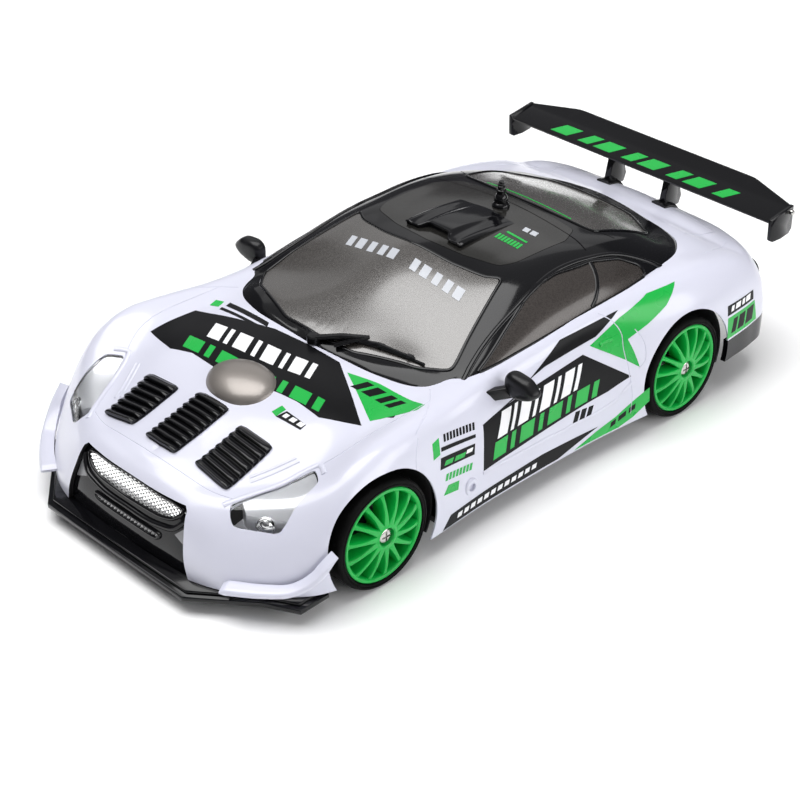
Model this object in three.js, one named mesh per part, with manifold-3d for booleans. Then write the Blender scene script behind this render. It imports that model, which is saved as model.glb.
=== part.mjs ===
// A 1:24 radio-controlled drift car, modelled as its separate pieces: a widebody coupe shell over a
// flat chassis pan with shaft-driven four-wheel drive, slotted steering link and push-on slick tyres.
// Millimetres. +X is forward, +Y is the car's left, +Z is up. The origin is on the ground at the
// centre of the car's bounding box.
import * as THREE from "three";
import { mergeVertices } from "three/addons/utils/BufferGeometryUtils.js";
import Module from "manifold-3d";

const wasm = await Module();
wasm.setup();

// ---- driving dimensions ----
const FRONT_AXLE_X = 58;
const REAR_AXLE_X = -50;
const AXLE_Z = 14; // the tyre's radius, so the treads stand on z = 0
const WHEEL_FACE_Y = 49.3; // outer face of the tyres
const TYRE_R = 14;
const TYRE_WIDTH = 11;
const TYRE_BORE_R = 12.3;
const RIM_R = 12.1;
const RIM_BORE_R = 10.9;
const SPOKES = 14;
const AXLE_R = 1.5;
const AXLE_END_Y = 47.6;
const SHELL_WALL = 1.3;
const ARCH_R = 16.6;
const KINGPIN_Y = 41;
const STEER_ARM = 5; // kingpin to link pin
const LINK_Z = [18.7, 19.9];
const HORN_ARM = 8; // horn pivot to link pin
const HORN_PIVOT = [37, 14];
const PAN_BOTTOM_Z = 4;
const PAN_FLOOR_Z = 5.6;
const GEAR_MODULE = 0.45;
const RING_TEETH = 24;
const BEVEL_TEETH = 10;
const SPUR_TEETH = 30;
const MOTOR_TEETH = 10;
const TOOTH = 0.42; // tooth thickness
const SPUR_X = -28;
const GAP = 0.3; // clearance kept between neighbouring solids

// ---- materials ----
const paint = (color, roughness = 0.35, metalness = 0) =>
  new THREE.MeshStandardMaterial({ color, roughness, metalness });
const white = paint(0xf1f1f6, 0.25);
const gloss = paint(0x121212, 0.2);
const satin = paint(0x1a1a1b, 0.5);
const bronzeGlass = paint(0x5b5650, 0.3, 0.5);
const silver = paint(0xb9b9b9, 0.3, 0.8);
const clear = paint(0xdfe6ea, 0.1);
const redLens = paint(0x8d1013, 0.15);
const green = paint(0x19a74a, 0.4);
const rubber = paint(0x161616, 0.8);
const steel = paint(0xc0c0c0, 0.3, 1);
const nylon = paint(0x2a2a2c, 0.6);
const boardGreen = paint(0x1d5a34, 0.5);
const cellWrap = paint(0x2458a6, 0.4);

// ---- solids: three.js makes the shapes, manifold-3d joins and cuts them ----
function toSolid(geometry) {
  const flat = geometry.index ? geometry.toNonIndexed() : geometry;
  const bare = new THREE.BufferGeometry();
  bare.setAttribute("position", flat.getAttribute("position").clone());
  const merged = mergeVertices(bare, 1e-4);
  const triangles = [];
  for (let i = 0; i < merged.index.count; i += 3) {
    const [a, b, c] = merged.index.array.slice(i, i + 3);
    if (a !== b && b !== c && c !== a) triangles.push(a, b, c);
  }
  const build = (order) =>
    new wasm.Manifold(
      new wasm.Mesh({
        numProp: 3,
        vertProperties: merged.attributes.position.array,
        triVerts: new Uint32Array(order),
      }),
    );
  const solid = build(triangles);
  return solid.volume() > 0 ? solid : build(triangles.reverse());
}

function toGeometry(solid) {
  const mesh = solid.getMesh();
  const stride = mesh.numProp;
  const positions = new Float32Array(mesh.numVert * 3);
  for (let i = 0; i < mesh.numVert; i++) {
    positions.set(mesh.vertProperties.subarray(i * stride, i * stride + 3), i * 3);
  }
  return new THREE.BufferGeometry()
    .setAttribute("position", new THREE.BufferAttribute(positions, 3))
    .setIndex(new THREE.BufferAttribute(mesh.triVerts, 1));
}

const join = (first, ...rest) => rest.reduce((all, one) => all.add(one), first);
const cut = (first, ...rest) => rest.reduce((all, one) => all.subtract(one), first);

// A box from its lowest to its highest corner.
function box([x0, y0, z0], [x1, y1, z1]) {
  const geometry = new THREE.BoxGeometry(x1 - x0, y1 - y0, z1 - z0);
  return toSolid(geometry.translate((x0 + x1) / 2, (y0 + y1) / 2, (z0 + z1) / 2));
}

// Turns a geometry built along +Z so that it lies along another axis, base at `from`.
function along(geometry, axis, [x, y, z]) {
  if (axis === "x") geometry.rotateY(Math.PI / 2);
  if (axis === "y") geometry.rotateX(-Math.PI / 2);
  return geometry.translate(x, y, z);
}

// A rod from `from`, reaching `length` along +axis; `tip` is its radius at the far end.
function rod(axis, from, length, radius, { tip = radius, sides = 16 } = {}) {
  const profile = [
    new THREE.Vector2(0, 0),
    new THREE.Vector2(radius, 0),
    new THREE.Vector2(tip, length),
    new THREE.Vector2(0, length),
  ];
  return toSolid(along(new THREE.LatheGeometry(profile, sides).rotateX(Math.PI / 2), axis, from));
}

// A turned piece about the Y axis through (x, z): profile pairs are [radius, y].
function turned(profile, x, z, sides = 28) {
  const points = profile.map(([radius, y]) => new THREE.Vector2(radius, y));
  return toSolid(new THREE.LatheGeometry(points, sides).translate(x, 0, z));
}

// An outline in two axes, extruded along the third from `start` for `depth`.
function plate(outline, plane, start, depth) {
  const shape = new THREE.Shape(outline.map(([a, b]) => new THREE.Vector2(a, b)));
  const geometry = new THREE.ExtrudeGeometry(shape, { depth, bevelEnabled: false });
  if (plane === "xz") geometry.rotateX(Math.PI / 2).translate(0, start + depth, 0);
  if (plane === "yz") geometry.rotateY(Math.PI / 2).rotateX(Math.PI / 2).translate(start, 0, 0);
  if (plane === "xy") geometry.translate(0, 0, start);
  return toSolid(geometry);
}

// The same solid on the car's other side.
function mirrored(solid) {
  return toSolid(toGeometry(solid).scale(1, -1, 1));
}

const car = new THREE.Group();

function node(name, solid, material) {
  const mesh = new THREE.Mesh(toGeometry(solid), material);
  mesh.name = name;
  car.add(mesh);
}

// A piece on the left side, and its mirror image on the right.
function pair(name, solid, material) {
  node(`${name}_left`, solid, material);
  node(`${name}_right`, mirrored(solid), material);
}

// ---- lofted skins ----
// A skin is a grid of columns, each a list of [x, y, z] from the skin's rim to its ridge on the
// centre plane. It covers the left half; the right half is its mirror. The result is a solid wall
// of the stated thickness, or the filled volume when the thickness is 0.
function normalsOf(grid) {
  const at = (i, j) => new THREE.Vector3(...grid[Math.min(Math.max(i, 0), grid.length - 1)][j]);
  return grid.map((column, i) =>
    column.map((point, j) => {
      const top = column.length - 1;
      const across = at(i + 1, j).sub(at(i - 1, j));
      const up = at(i, Math.min(j + 1, top)).sub(at(i, Math.max(j - 1, 0)));
      const onPlane = Math.abs(point[1]) < 1e-6;
      const normal = across.cross(up);
      if (onPlane) normal.y = 0;
      return normal.normalize();
    }),
  );
}

function skin(grid, thickness) {
  const normals = normalsOf(grid);
  const inner = grid.map((column, i) =>
    column.map((point, j) => {
      const normal = normals[i][j];
      const lowRow = j === 0;
      const depth = lowRow ? 0 : -normal.z * thickness;
      return [
        point[0] - normal.x * thickness,
        Math.max(0, point[1] - normal.y * thickness),
        point[2] + depth,
      ];
    }),
  );
  const positions = [];
  const face = (a, b, c) => {
    const flip = ([x, y, z]) => [x, -y, z];
    positions.push(...a, ...c, ...b);
    positions.push(...flip(a), ...flip(b), ...flip(c));
  };
  const quad = (a, b, c, d) => {
    face(a, b, c);
    face(a, c, d);
  };
  for (let i = 0; i + 1 < grid.length; i++) {
    for (let j = 0; j + 1 < grid[i].length; j++) {
      quad(grid[i][j], grid[i][j + 1], grid[i + 1][j + 1], grid[i + 1][j]);
      if (thickness) quad(inner[i][j], inner[i + 1][j], inner[i + 1][j + 1], inner[i][j + 1]);
    }
    if (thickness) quad(grid[i][0], grid[i + 1][0], inner[i + 1][0], inner[i][0]);
    else {
      const [a, b] = [grid[i][0], grid[i + 1][0]];
      quad(a, b, [b[0], 0, b[2]], [a[0], 0, a[2]]);
    }
  }
  const geometry = new THREE.BufferGeometry();
  geometry.setAttribute("position", new THREE.Float32BufferAttribute(positions, 3));
  return toSolid(geometry);
}

const lerp = (a, b, t) => a + (b - a) * t;

// Body columns from the nose's centre round the left side to the tail's centre. Each holds the
// bottom edge, the lower flank, the mid flank, the shoulder and the crest as [x, y, z], then the x
// and z of the point it reaches on the centre line, and how far the top dips inside the crest.
const BODY = [
  [[95.5, 0, 6], [95.5, 0, 10], [94.2, 0, 16], [92.0, 0, 21.5], [90.0, 0, 23.6], [84, 26.2], 0],
  [[95.3, 12, 6], [95.3, 12, 10], [94.0, 12, 16], [91.8, 12, 21.4], [89.8, 11.5, 23.5], [80, 27.6], 0],
  [[94.6, 21, 6], [94.6, 21, 10], [93.0, 21, 16], [90.5, 20.5, 21.3], [88.5, 19.5, 23.3], [76, 28.8], 0],
  [[92.5, 28.5, 6], [92.3, 28.5, 10], [90.5, 28, 15.5], [87.5, 27, 20.8],
    [85.3, 26, 23.2], [72, 30], 0.3],
  [[88.0, 36.5, 6], [87.8, 36.5, 10], [86.0, 36, 15], [82.8, 34.5, 21], [80, 33, 24.4], [68, 31.2], 0.7],
  [[82.5, 43, 6], [82.3, 43, 10], [81.0, 42.7, 15], [78.0, 41.6, 21.5],
    [74.5, 40, 26.2], [64, 32.2], 1.2],
  [[77.0, 47.2, 6], [76.8, 47.4, 10], [76.0, 47.2, 15.5], [73.5, 46.4, 22.5],
    [69.5, 44, 29.2], [60, 33], 1.9],
  [[71.0, 49.2, 6], [71.0, 49.4, 10], [70.5, 49.4, 16.5], [68.5, 48.5, 25.5],
    [65, 45.2, 32], [55, 33.8], 2.1],
  [[64.0, 50.0, 6], [64.0, 50.1, 10], [64.0, 50.1, 18], [63.0, 49.2, 28],
    [60.5, 45.6, 33.8], [50, 34.4], 2],
  [[58.0, 50.2, 6], [58.0, 50.3, 10], [58.0, 50.3, 19], [57.5, 49.4, 29.3],
    [56, 45.7, 34.6], [45, 34.9], 1.7],
  [[50.0, 50.1, 6], [50.0, 50.2, 10], [50.0, 50.0, 19], [50.0, 48.7, 29],
    [49.5, 45.2, 34.6], [40, 35.2], 1.3],
  [[42.0, 49.6, 6], [42.0, 49.7, 10], [42.0, 49.3, 18.5], [42.0, 47.6, 28.2],
    [42, 44.4, 34.2], [36, 35.5], 0.9],
  [[34.0, 48.9, 6], [34.0, 49.0, 10], [34.0, 48.4, 18], [34.0, 46.5, 27.8],
    [34, 43.2, 33.9], [30, 36], 0.5],
  [[24.0, 48.2, 6], [24.0, 48.2, 10], [24.0, 47.4, 18], [24.0, 45.4, 28], [24, 41.8, 34.4], [20, 37], 0],
  [[12.0, 47.9, 6], [12.0, 47.9, 10], [12.0, 47.0, 18], [12.0, 45.0, 28.5], [12, 41.2, 35.6], [8, 38], 0],
  [[-2.0, 47.8, 6], [-2.0, 47.8, 10], [-2.0, 46.8, 18], [-2.0, 45.0, 29],
    [-2, 41.2, 36.8], [-4, 38.5], 0],
  [[-16.0, 48.0, 6], [-16.0, 48.0, 10], [-16.0, 47.0, 18],
    [-16.0, 45.2, 29.5], [-16, 41.2, 38], [-18, 39], 0],
  [[-28.0, 48.7, 6], [-28.0, 48.8, 10], [-28.0, 48.1, 18],
    [-28.0, 46.4, 29.5], [-28, 41.3, 38.4], [-30, 39.5], 0],
  [[-38.0, 50.0, 6.5], [-38.0, 50.1, 10.5], [-38.0, 49.9, 18.5],
    [-38.0, 48.2, 29.5], [-38, 42, 38.2], [-42, 40], 0],
  [[-50.0, 50.7, 7.5], [-50.0, 50.8, 11.5], [-50.0, 50.7, 20],
    [-50.0, 49.3, 30], [-50, 43, 37.8], [-53, 40.5], 0],
  [[-60.0, 50.6, 8.5], [-60.0, 50.7, 12.5], [-60.0, 50.6, 20],
    [-60.0, 49.0, 29.8], [-60, 43.5, 36.8], [-61, 40.4], 0],
  [[-69.0, 50.0, 8.5], [-69.0, 50.1, 12.5], [-69.0, 50.0, 20],
    [-69.0, 48.4, 28.8], [-69, 43.6, 35.2], [-67, 39.8], 0],
  [[-78.0, 49.2, 8.5], [-78.0, 49.2, 12.5], [-78.0, 49.0, 19.5],
    [-78.0, 47.2, 27.5], [-77.5, 43, 33.2], [-72, 38.8], 0],
  [[-85.0, 47.3, 8.5], [-85.3, 47.3, 12.5], [-85.5, 47, 19],
    [-85.5, 45.4, 26], [-84, 41.8, 31], [-76, 37.7], 0],
  [[-88.5, 43, 8.5], [-89.0, 43, 12.5], [-89.8, 42.5, 19], [-89.5, 40.5, 27],
    [-87, 38, 31.8], [-79.5, 36.8], 0],
  [[-90.5, 33, 8.5], [-91.2, 33, 12.5], [-92.0, 33, 19], [-91.5, 31.5, 28.5],
    [-89.3, 30, 32.7], [-82.3, 36], 0],
  [[-91.0, 18, 8.5], [-91.8, 18, 12.5], [-92.6, 18, 19], [-92.2, 17.5, 29.5],
    [-90, 17, 33.3], [-84.4, 35.5], 0],
  [[-91.0, 0, 8.5], [-92.0, 0, 12.5], [-92.8, 0, 19], [-92.4, 0, 29.8], [-90.2, 0, 33.6], [-86, 35.2], 0],
];
// Rows between the crest and the centre line: how far along, how much of the dip, and crown.
const TOP_ROWS = [[0.22, 1, 0.3], [0.48, 0.35, 0.5], [0.75, 0, 0.3]];

function bodyGrid() {
  return BODY.map(([bottom, low, mid, shoulder, crest, [ridgeX, ridgeZ], dip]) => {
    const inside = TOP_ROWS.map(([t, share, crown]) => [
      lerp(crest[0], ridgeX, t),
      lerp(crest[1], 0, t),
      lerp(crest[2], ridgeZ, t) - dip * share + crown,
    ]);
    return [bottom, low, mid, shoulder, crest, ...inside, [ridgeX, 0, ridgeZ]];
  });
}

// Cabin columns from the cowl to the rear window's foot: the rim inside the body, the belt, the
// roof rail and the ridge as [x, y, z].
const CABIN = [
  [[37.0, 0, 31], [36.8, 0, 33.5], [36.5, 0, 34.8], [35, 36.3]],
  [[36.8, 12, 31], [36.6, 12, 33.5], [36.2, 11.6, 34.8], [30, 38.3]],
  [[35.2, 24, 31], [35.0, 24, 33.5], [34.4, 23.4, 34.8], [24, 40.8]],
  [[31.0, 33.5, 31], [30.6, 33, 33.5], [29.6, 31.8, 34.9], [18, 43.2]],
  [[25.0, 38.6, 31], [24.6, 38, 34], [22.0, 35, 35.6], [12, 45.6]],
  [[14.0, 40.6, 31], [14.0, 39.6, 35.6], [13.0, 32.2, 40.2], [6, 47.8]],
  [[4.0, 40.9, 31], [4.0, 39.9, 36.4], [4.0, 29.3, 44.2], [0, 49.4]],
  [[-6.0, 41.0, 32], [-6.0, 40.0, 37.2], [-5.0, 27, 47.4], [-6, 50.1]],
  [[-18.0, 41.0, 32], [-18.0, 40.0, 38], [-18.0, 28, 48.1], [-18, 50.4]],
  [[-30.0, 40.6, 32], [-30.0, 39.8, 38.4], [-30.0, 28.6, 47.7], [-30, 49.7]],
  [[-42.0, 39.6, 32], [-42.0, 38.8, 38.3], [-42.0, 28.8, 45.9], [-42, 48.2]],
  [[-53.0, 37.8, 32], [-53.0, 37, 37.9], [-53.0, 28.6, 43], [-52, 45.9]],
  [[-62.0, 35, 32], [-62.0, 34.2, 37.3], [-61.0, 27.5, 40.2], [-60, 43.2]],
  [[-68.5, 29.5, 32], [-68.5, 29.2, 36.8], [-67.5, 23, 38.9], [-66, 41.0]],
  [[-71.6, 15, 32], [-71.6, 14.8, 37.4], [-70.6, 12, 39.4], [-69, 40.2]],
  [[-72.4, 0, 32], [-72.4, 0, 37.6], [-71.4, 0, 39.5], [-70.3, 39.9]],
];

function cabinGrid(grow = 0) {
  return CABIN.map(([rim, belt, rail, [ridgeX, ridgeZ]]) => {
    const roof = [0.35, 0.7].map((t) => [
      lerp(rail[0], ridgeX, t),
      lerp(rail[1], 0, t),
      lerp(rail[2], ridgeZ, t) + 2.2 * t * (1 - t),
    ]);
    const column = [rim, belt, rail, ...roof, [ridgeX, 0, ridgeZ]];
    return column.map(([x, y, z]) => [x + Math.sign(x) * grow, y > 0 ? y + grow : 0, z + grow]);
  });
}

// ---- body shell ----
const common = (first, ...rest) => rest.reduce((all, one) => all.intersect(one), first);
const moved = (solid, x, y, z) => solid.translate([x, y, z]);
const bothSides = (solid) => join(solid, mirrored(solid));

// The filled outer forms, used to trim the pieces that sit on or in the shell.
const bodyForm = skin(bodyGrid(), 0);
const cabinForm = skin(cabinGrid(), 0);
const onBody = (prism, height, lift = 0.1) =>
  cut(common(prism, moved(bodyForm, 0, 0, height)), moved(bodyForm, 0, 0, lift));

const archCutter = (x) => rod("y", [x, 30, AXLE_Z], 30, ARCH_R, { sides: 36 });
const arches = [FRONT_AXLE_X, REAR_AXLE_X].map((x) => bothSides(archCutter(x)));

// Nose opening between the two painted pillars.
const grilleOutline = (inset) => [
  [-22.8 + inset, 5],
  [22.8 - inset, 5],
  [18.9 - inset, 22.2 - inset],
  [-18.9 + inset, 22.2 - inset],
];

// Headlamp outline seen from above; each socket is cut straight down through the skin.
const LAMP = [
  [84.4, 26.2],
  [86.6, 29.4],
  [80.6, 39.2],
  [68.8, 39.2],
  [66, 34.9],
];
const shrunk = (outline, scale) => {
  const x = outline.reduce((sum, point) => sum + point[0], 0) / outline.length;
  const y = outline.reduce((sum, point) => sum + point[1], 0) / outline.length;
  return outline.map((point) => [lerp(x, point[0], scale), lerp(y, point[1], scale)]);
};
const lampPrism = (scale) => plate(shrunk(LAMP, scale), "xy", 18, 18);

// Black lower valance: the part of the tail's skin below a line that rises rearward.
const valanceOutline = (drop) => [
  [-100, 0],
  [-60, 0],
  [-60, 16 - drop],
  [-100, 16.8 - drop],
];

// Four round tail lamps, two a side, joined behind by a bar.
const tailLamp = (grow) =>
  join(
    rod("x", [-95, 36.5, 23], 12, 3.6 + grow),
    rod("x", [-95, 26.5, 23.5], 12, 3.6 + grow),
    box([-95, 27, 21 - grow], [-83, 36, 25.5 + grow]),
  );

// Canard: a shelf that starts low on the nose corner and sweeps up to the wheel arch.
const CANARD = [
  [93.6, 34.6, 8.4],
  [89.2, 41.2, 8.7],
  [84, 47.2, 9.6],
  [79, 50.6, 13],
  [74.6, 51.9, 17.4],
];
function canard() {
  const positions = [];
  const quad = (a, b, c, d) => positions.push(...a, ...b, ...c, ...a, ...c, ...d);
  const ring = ([x, y, z]) => {
    const inward = [x - 6, y - 5.5];
    return [
      [x, y, z],
      [x, y, z + 1.5],
      [...inward, z + 1.5],
      [...inward, z],
    ];
  };
  const rings = CANARD.map(ring);
  for (let i = 0; i + 1 < rings.length; i++) {
    for (let k = 0; k < 4; k++) {
      const next = (k + 1) % 4;
      quad(rings[i][k], rings[i + 1][k], rings[i + 1][next], rings[i][next]);
    }
  }
  const [first, last] = [rings[0], rings.at(-1)];
  quad(first[0], first[1], first[2], first[3]);
  quad(last[3], last[2], last[1], last[0]);
  const geometry = new THREE.BufferGeometry();
  geometry.setAttribute("position", new THREE.Float32BufferAttribute(positions, 3));
  return toSolid(geometry);
}

const SCREW = [28.9, 13.5];
const screwHole = (radius) => rod("y", [SCREW[0], 40, SCREW[1]], 12, radius);

const wall = skin(bodyGrid(), SHELL_WALL);
const inside = cut(bodyForm, wall);
const canards = cut(bothSides(canard()), inside, ...arches);
let shell = cut(join(wall, canards), skin(cabinGrid(GAP), 0), ...arches);
shell = cut(
  shell,
  plate(grilleOutline(0), "yz", 84, 16),
  bothSides(lampPrism(1)),
  plate(valanceOutline(0), "xz", -60, 120),
  bothSides(tailLamp(GAP)),
  bothSides(screwHole(1.7)),
);
node("body_shell", shell, white);

// ---- cabin and glass ----
const CABIN_WALL = 1.2;
const cabinWall = skin(cabinGrid(), CABIN_WALL);
const SCREEN = [
  [31, 0],
  [28, 16],
  [20.5, 28.5],
  [12, 32.5],
  [-3, 25],
  [-0.8, 12],
  [-0.2, 0],
];
const BACKLIGHT = [
  [-40, 0],
  [-40.5, 14],
  [-42, 23.5],
  [-59, 24.5],
  [-64, 14],
  [-65, 0],
];
const SIDE_GLASS = [
  [12, 38.6],
  [-20, 40.2],
  [-46, 40],
  [-44, 42.4],
  [-30, 46.6],
  [-8, 46.4],
  [0, 43.6],
];
const whole = (half) => [...half, ...half.slice(1, -1).reverse().map(([x, y]) => [x, -y])];
const screenPrism = (scale) => plate(shrunk(whole(SCREEN), scale), "xy", 30, 30);
const backlightPrism = (scale) => plate(shrunk(whole(BACKLIGHT), scale), "xy", 30, 30);
const sideGlassPrism = (scale) => plate(shrunk(SIDE_GLASS, scale), "xz", 25, 20);
node(
  "cabin_shell",
  cut(cabinWall, screenPrism(1), backlightPrism(1), bothSides(sideGlassPrism(1))),
  gloss,
);
node("windscreen", common(cabinWall, screenPrism(0.975)), bronzeGlass);
node("rear_window", common(cabinWall, backlightPrism(0.97)), bronzeGlass);
pair("side_window", common(cabinWall, sideGlassPrism(0.97)), bronzeGlass);

// ---- nose ----
const grille = common(plate(grilleOutline(GAP), "yz", 80, 18), moved(bodyForm, -1.4, 0, 0));
node(
  "front_grille",
  cut(grille, moved(bodyForm, -3, 0, 0), box([70, -30, 0], [100, 30, 6.1])),
  satin,
);

const SPLITTER = [
  [98.5, 0],
  [98.5, 25.5],
  [87, 39.5],
  [82.5, 47.8],
  [73.5, 47.4],
  [73.5, 33],
  [84, 26],
  [84, 0],
];
const splitter = plate(whole(SPLITTER), "xy", 3.6, 2.1);
const splitterLip = cut(splitter, plate(shrunk(whole(SPLITTER), 0.97), "xy", 4.9, 2));
node("front_splitter", join(plate(whole(SPLITTER), "xy", 3.6, 1.3), splitterLip), satin);

const tyreSweep = rod("y", [FRONT_AXLE_X, 26, AXLE_Z], 30, 16.9, { sides: 24 });
const lampForm = common(bodyForm, lampPrism(0.93));
pair("headlight_lens", common(skin(bodyGrid(), 0.9), lampPrism(0.95)), clear);
const reflectorTop = skin(bodyGrid(), 1.7);
pair("headlight_reflector", cut(lampForm, reflectorTop, tyreSweep), silver);

// Louvred bonnet vents: a base plate with raised slats across it.
function vent([x0, y0, x1, y1], slats) {
  const base = onBody(box([x0, y0, 20], [x1, y1, 45]), 0.7);
  const pitch = (x1 - x0) / slats;
  const blades = [];
  for (let i = 0; i < slats; i++) {
    const x = x0 + pitch * (i + 0.25);
    blades.push(box([x, y0 + 0.5, 20], [x + pitch * 0.5, y1 - 0.5, 45]));
  }
  return join(base, ...blades.map((blade) => onBody(blade, 1.5)));
}
node("bonnet_vent_left", vent([67.6, 11.6, 82, 22.6], 6), satin);
node("bonnet_vent_right", mirrored(vent([67.6, 11.6, 82, 22.6], 6)), satin);
node("bonnet_vent_center", vent([66.2, -5.1, 83.2, 5.1], 8), satin);

const bulgeForm = new THREE.SphereGeometry(1, 20, 12).scale(7.2, 9.8, 4.4).translate(58, 0, 32.6);
node("bonnet_bulge", cut(toSolid(bulgeForm), moved(bodyForm, 0, 0, 0.1)), silver);

// ---- roof, mirrors and wiper ----
const SCOOP = [
  [-5.5, 9.2],
  [-27, 8.4],
  [-29, 5],
  [-29, -5],
  [-27, -8.4],
  [-5.5, -9.2],
];
const scoopTop = plate(
  [
    [-4, 50.6],
    [-4, 51.5],
    [-18, 51.8],
    [-29, 50.6],
    [-30, 44],
    [-4, 44],
  ],
  "xz",
  -12,
  24,
);
const scoopMouth = box([-8, -7, 50.5], [-4, 7, 51.1]);
const scoopForm = common(plate(SCOOP, "xy", 44, 12), scoopTop);
node("roof_scoop", cut(scoopForm, moved(cabinForm, 0, 0, 0.1), scoopMouth), gloss);

const ANTENNA = [-31, 0];
const antenna = join(
  rod("z", [...ANTENNA, 47], 4.2, 2.2, { tip: 1.8 }),
  rod("z", [...ANTENNA, 50.5], 4, 1.4, { tip: 1 }),
  rod("z", [...ANTENNA, 54], 2.8, 1.3, { tip: 1.1 }),
);
node("roof_antenna", cut(antenna, moved(cabinForm, 0, 0, 0.1)), satin);

function slab(from, to, width, height) {
  const [a, b] = [new THREE.Vector3(...from), new THREE.Vector3(...to)];
  const reach = b.clone().sub(a);
  const geometry = new THREE.BoxGeometry(width, height, reach.length());
  const turn = new THREE.Quaternion().setFromUnitVectors(
    new THREE.Vector3(0, 0, 1),
    reach.clone().normalize(),
  );
  geometry.applyQuaternion(turn);
  return toSolid(geometry.translate(...a.add(b).multiplyScalar(0.5).toArray()));
}
const wiperArms = join(
  slab([36.5, 3, 37.6], [29, 17, 38.4], 1, 0.8),
  slab([29, 17, 38.4], [22.4, 30, 38.6], 0.8, 0.7),
  slab([35, 8, 37.6], [24, 27, 39.1], 0.6, 0.6),
  slab([36.5, 3, 37.3], [36.5, 9, 37.5], 2.4, 1.4),
  slab([30, 15.2, 38], [30, 17.2, 38.9], 2, 1),
);
const clearOfShell = [moved(cabinForm, 0, 0, 0.1), moved(bodyForm, 0, 0, 0.1)];
const wiperForm = common(box([20, 0, 30], [40, 33, 42]), wiperArms);
node("wiper", cut(wiperForm, ...clearOfShell), satin);

// Door mirrors: a bulged head on a flat stem. The outline is in y and z, seen from the front.
const MIRROR_FACE = [
  [44.2, 32.6],
  [44.3, 36],
  [46.5, 37.4],
  [50.5, 37.7],
  [53.3, 36.6],
  [54.3, 34.8],
  [53.4, 32.6],
  [50, 31.2],
  [46, 31],
];
const mirrorRing = (x, size) =>
  MIRROR_FACE.map(([y, z]) => [x, lerp(49.4, y, size), lerp(34.4, z, size)]);
const mirrorHead = wasm.Manifold.hull([
  ...mirrorRing(11, 0.96),
  ...mirrorRing(13.4, 1),
  ...mirrorRing(15.4, 0.6),
]);
const mirrorStem = slab([19.2, 41.4, 30.9], [13.4, 46, 33], 2.6, 2.2);
const mirrorForm = join(mirrorHead, mirrorStem);
pair("mirror", cut(mirrorForm, ...clearOfShell), satin);

// ---- rear wing and tail ----
const WING_LEAD = -85.5;
const blade = plate(
  [
    [WING_LEAD, 42.6],
    [WING_LEAD + 0.6, 43.2],
    [-93, 44.6],
    [-98.5, 46.6],
    [-98.3, 45.6],
    [-92, 43.4],
  ],
  "xz",
  -46.6,
  93.2,
);
const bladePlan = plate(
  whole([
    [-80, 0],
    [-80, 46.6],
    [-94.2, 46.6],
    [-98.5, 31],
    [-98.5, 0],
  ]),
  "xy",
  30,
  30,
);
const endPlate = plate(
  [
    [-84.9, 37.2],
    [-84.9, 43.6],
    [-94.4, 44.8],
    [-94.4, 38],
    [-90, 36.8],
  ],
  "xz",
  46.2,
  1.2,
);
node("wing_blade", join(common(blade, bladePlan), bothSides(endPlate)), satin);
const supportForm = join(
  plate(
    [
      [-85.4, 34],
      [-92.4, 34],
      [-93.4, 36],
      [-91, 43.6],
      [-87.6, 42.9],
    ],
    "xz",
    9,
    2,
  ),
  box([-93, 8, 30], [-84.6, 12, 36]),
);
const underWing = plate(
  [
    [-70, 30],
    [-70, 42.3],
    [WING_LEAD, 42.3],
    [-92, 43.1],
    [-99, 45.4],
    [-99, 30],
  ],
  "xz",
  -5,
  30,
);
pair("wing_support", cut(common(supportForm, underWing), moved(bodyForm, 0, 0, 0.1)), satin);

const valanceWall = skin(bodyGrid(), 1.6);
const valance = cut(common(valanceWall, plate(valanceOutline(GAP), "xz", -60, 120)), ...arches);
const fin = (y) => box([-92, y - 0.5, 8.6], [-84, y + 0.5, 13]);
const fins = common(join(fin(-18), fin(-9), fin(0), fin(9), fin(18)), moved(bodyForm, 1, 0, 0));
const tray = common(box([-91, -24, 8.6], [-80, 24, 9.8]), moved(bodyForm, 1, 0, 0));
node("rear_diffuser", join(valance, cut(tray, fins), fins), satin);
pair("tail_light", common(skin(bodyGrid(), 1), tailLamp(0)), redLens);

const screwHead = rod("y", [SCREW[0], 48.7, SCREW[1]], 0.9, 2.3, { tip: 2.1 });
const screwForm = join(screwHead, rod("y", [SCREW[0], 42, SCREW[1]], 7, 1.3));
const hexKey = rod("y", [SCREW[0], 48.9, SCREW[1]], 2, 1.1, { sides: 6 });
pair("body_screw", cut(screwForm, hexKey), white);

// ---- gears ----
// Toothed outline about (0, 0).
function toothed(teeth, phase) {
  const pitch = (teeth * GEAR_MODULE) / 2;
  const [root, tip] = [pitch - GEAR_MODULE * 1.15, pitch + GEAR_MODULE * 0.85];
  const outline = [];
  for (let i = 0; i < teeth; i++) {
    const middle = ((i + phase) / teeth) * 2 * Math.PI;
    const corner = (radius, half) => {
      const angle = middle + half / radius;
      outline.push([radius * Math.cos(angle), radius * Math.sin(angle)]);
    };
    corner(root, -TOOTH * 0.65);
    corner(tip, -TOOTH * 0.35);
    corner(tip, TOOTH * 0.35);
    corner(root, TOOTH * 0.65);
  }
  return outline;
}
const spurAlongX = (teeth, x, width, y, z, phase = 0) =>
  moved(plate(toothed(teeth, phase), "yz", x, width), 0, y, z);

const CROWN_R = (RING_TEETH * GEAR_MODULE) / 2;
const BEVEL_R = (BEVEL_TEETH * GEAR_MODULE) / 2;
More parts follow.
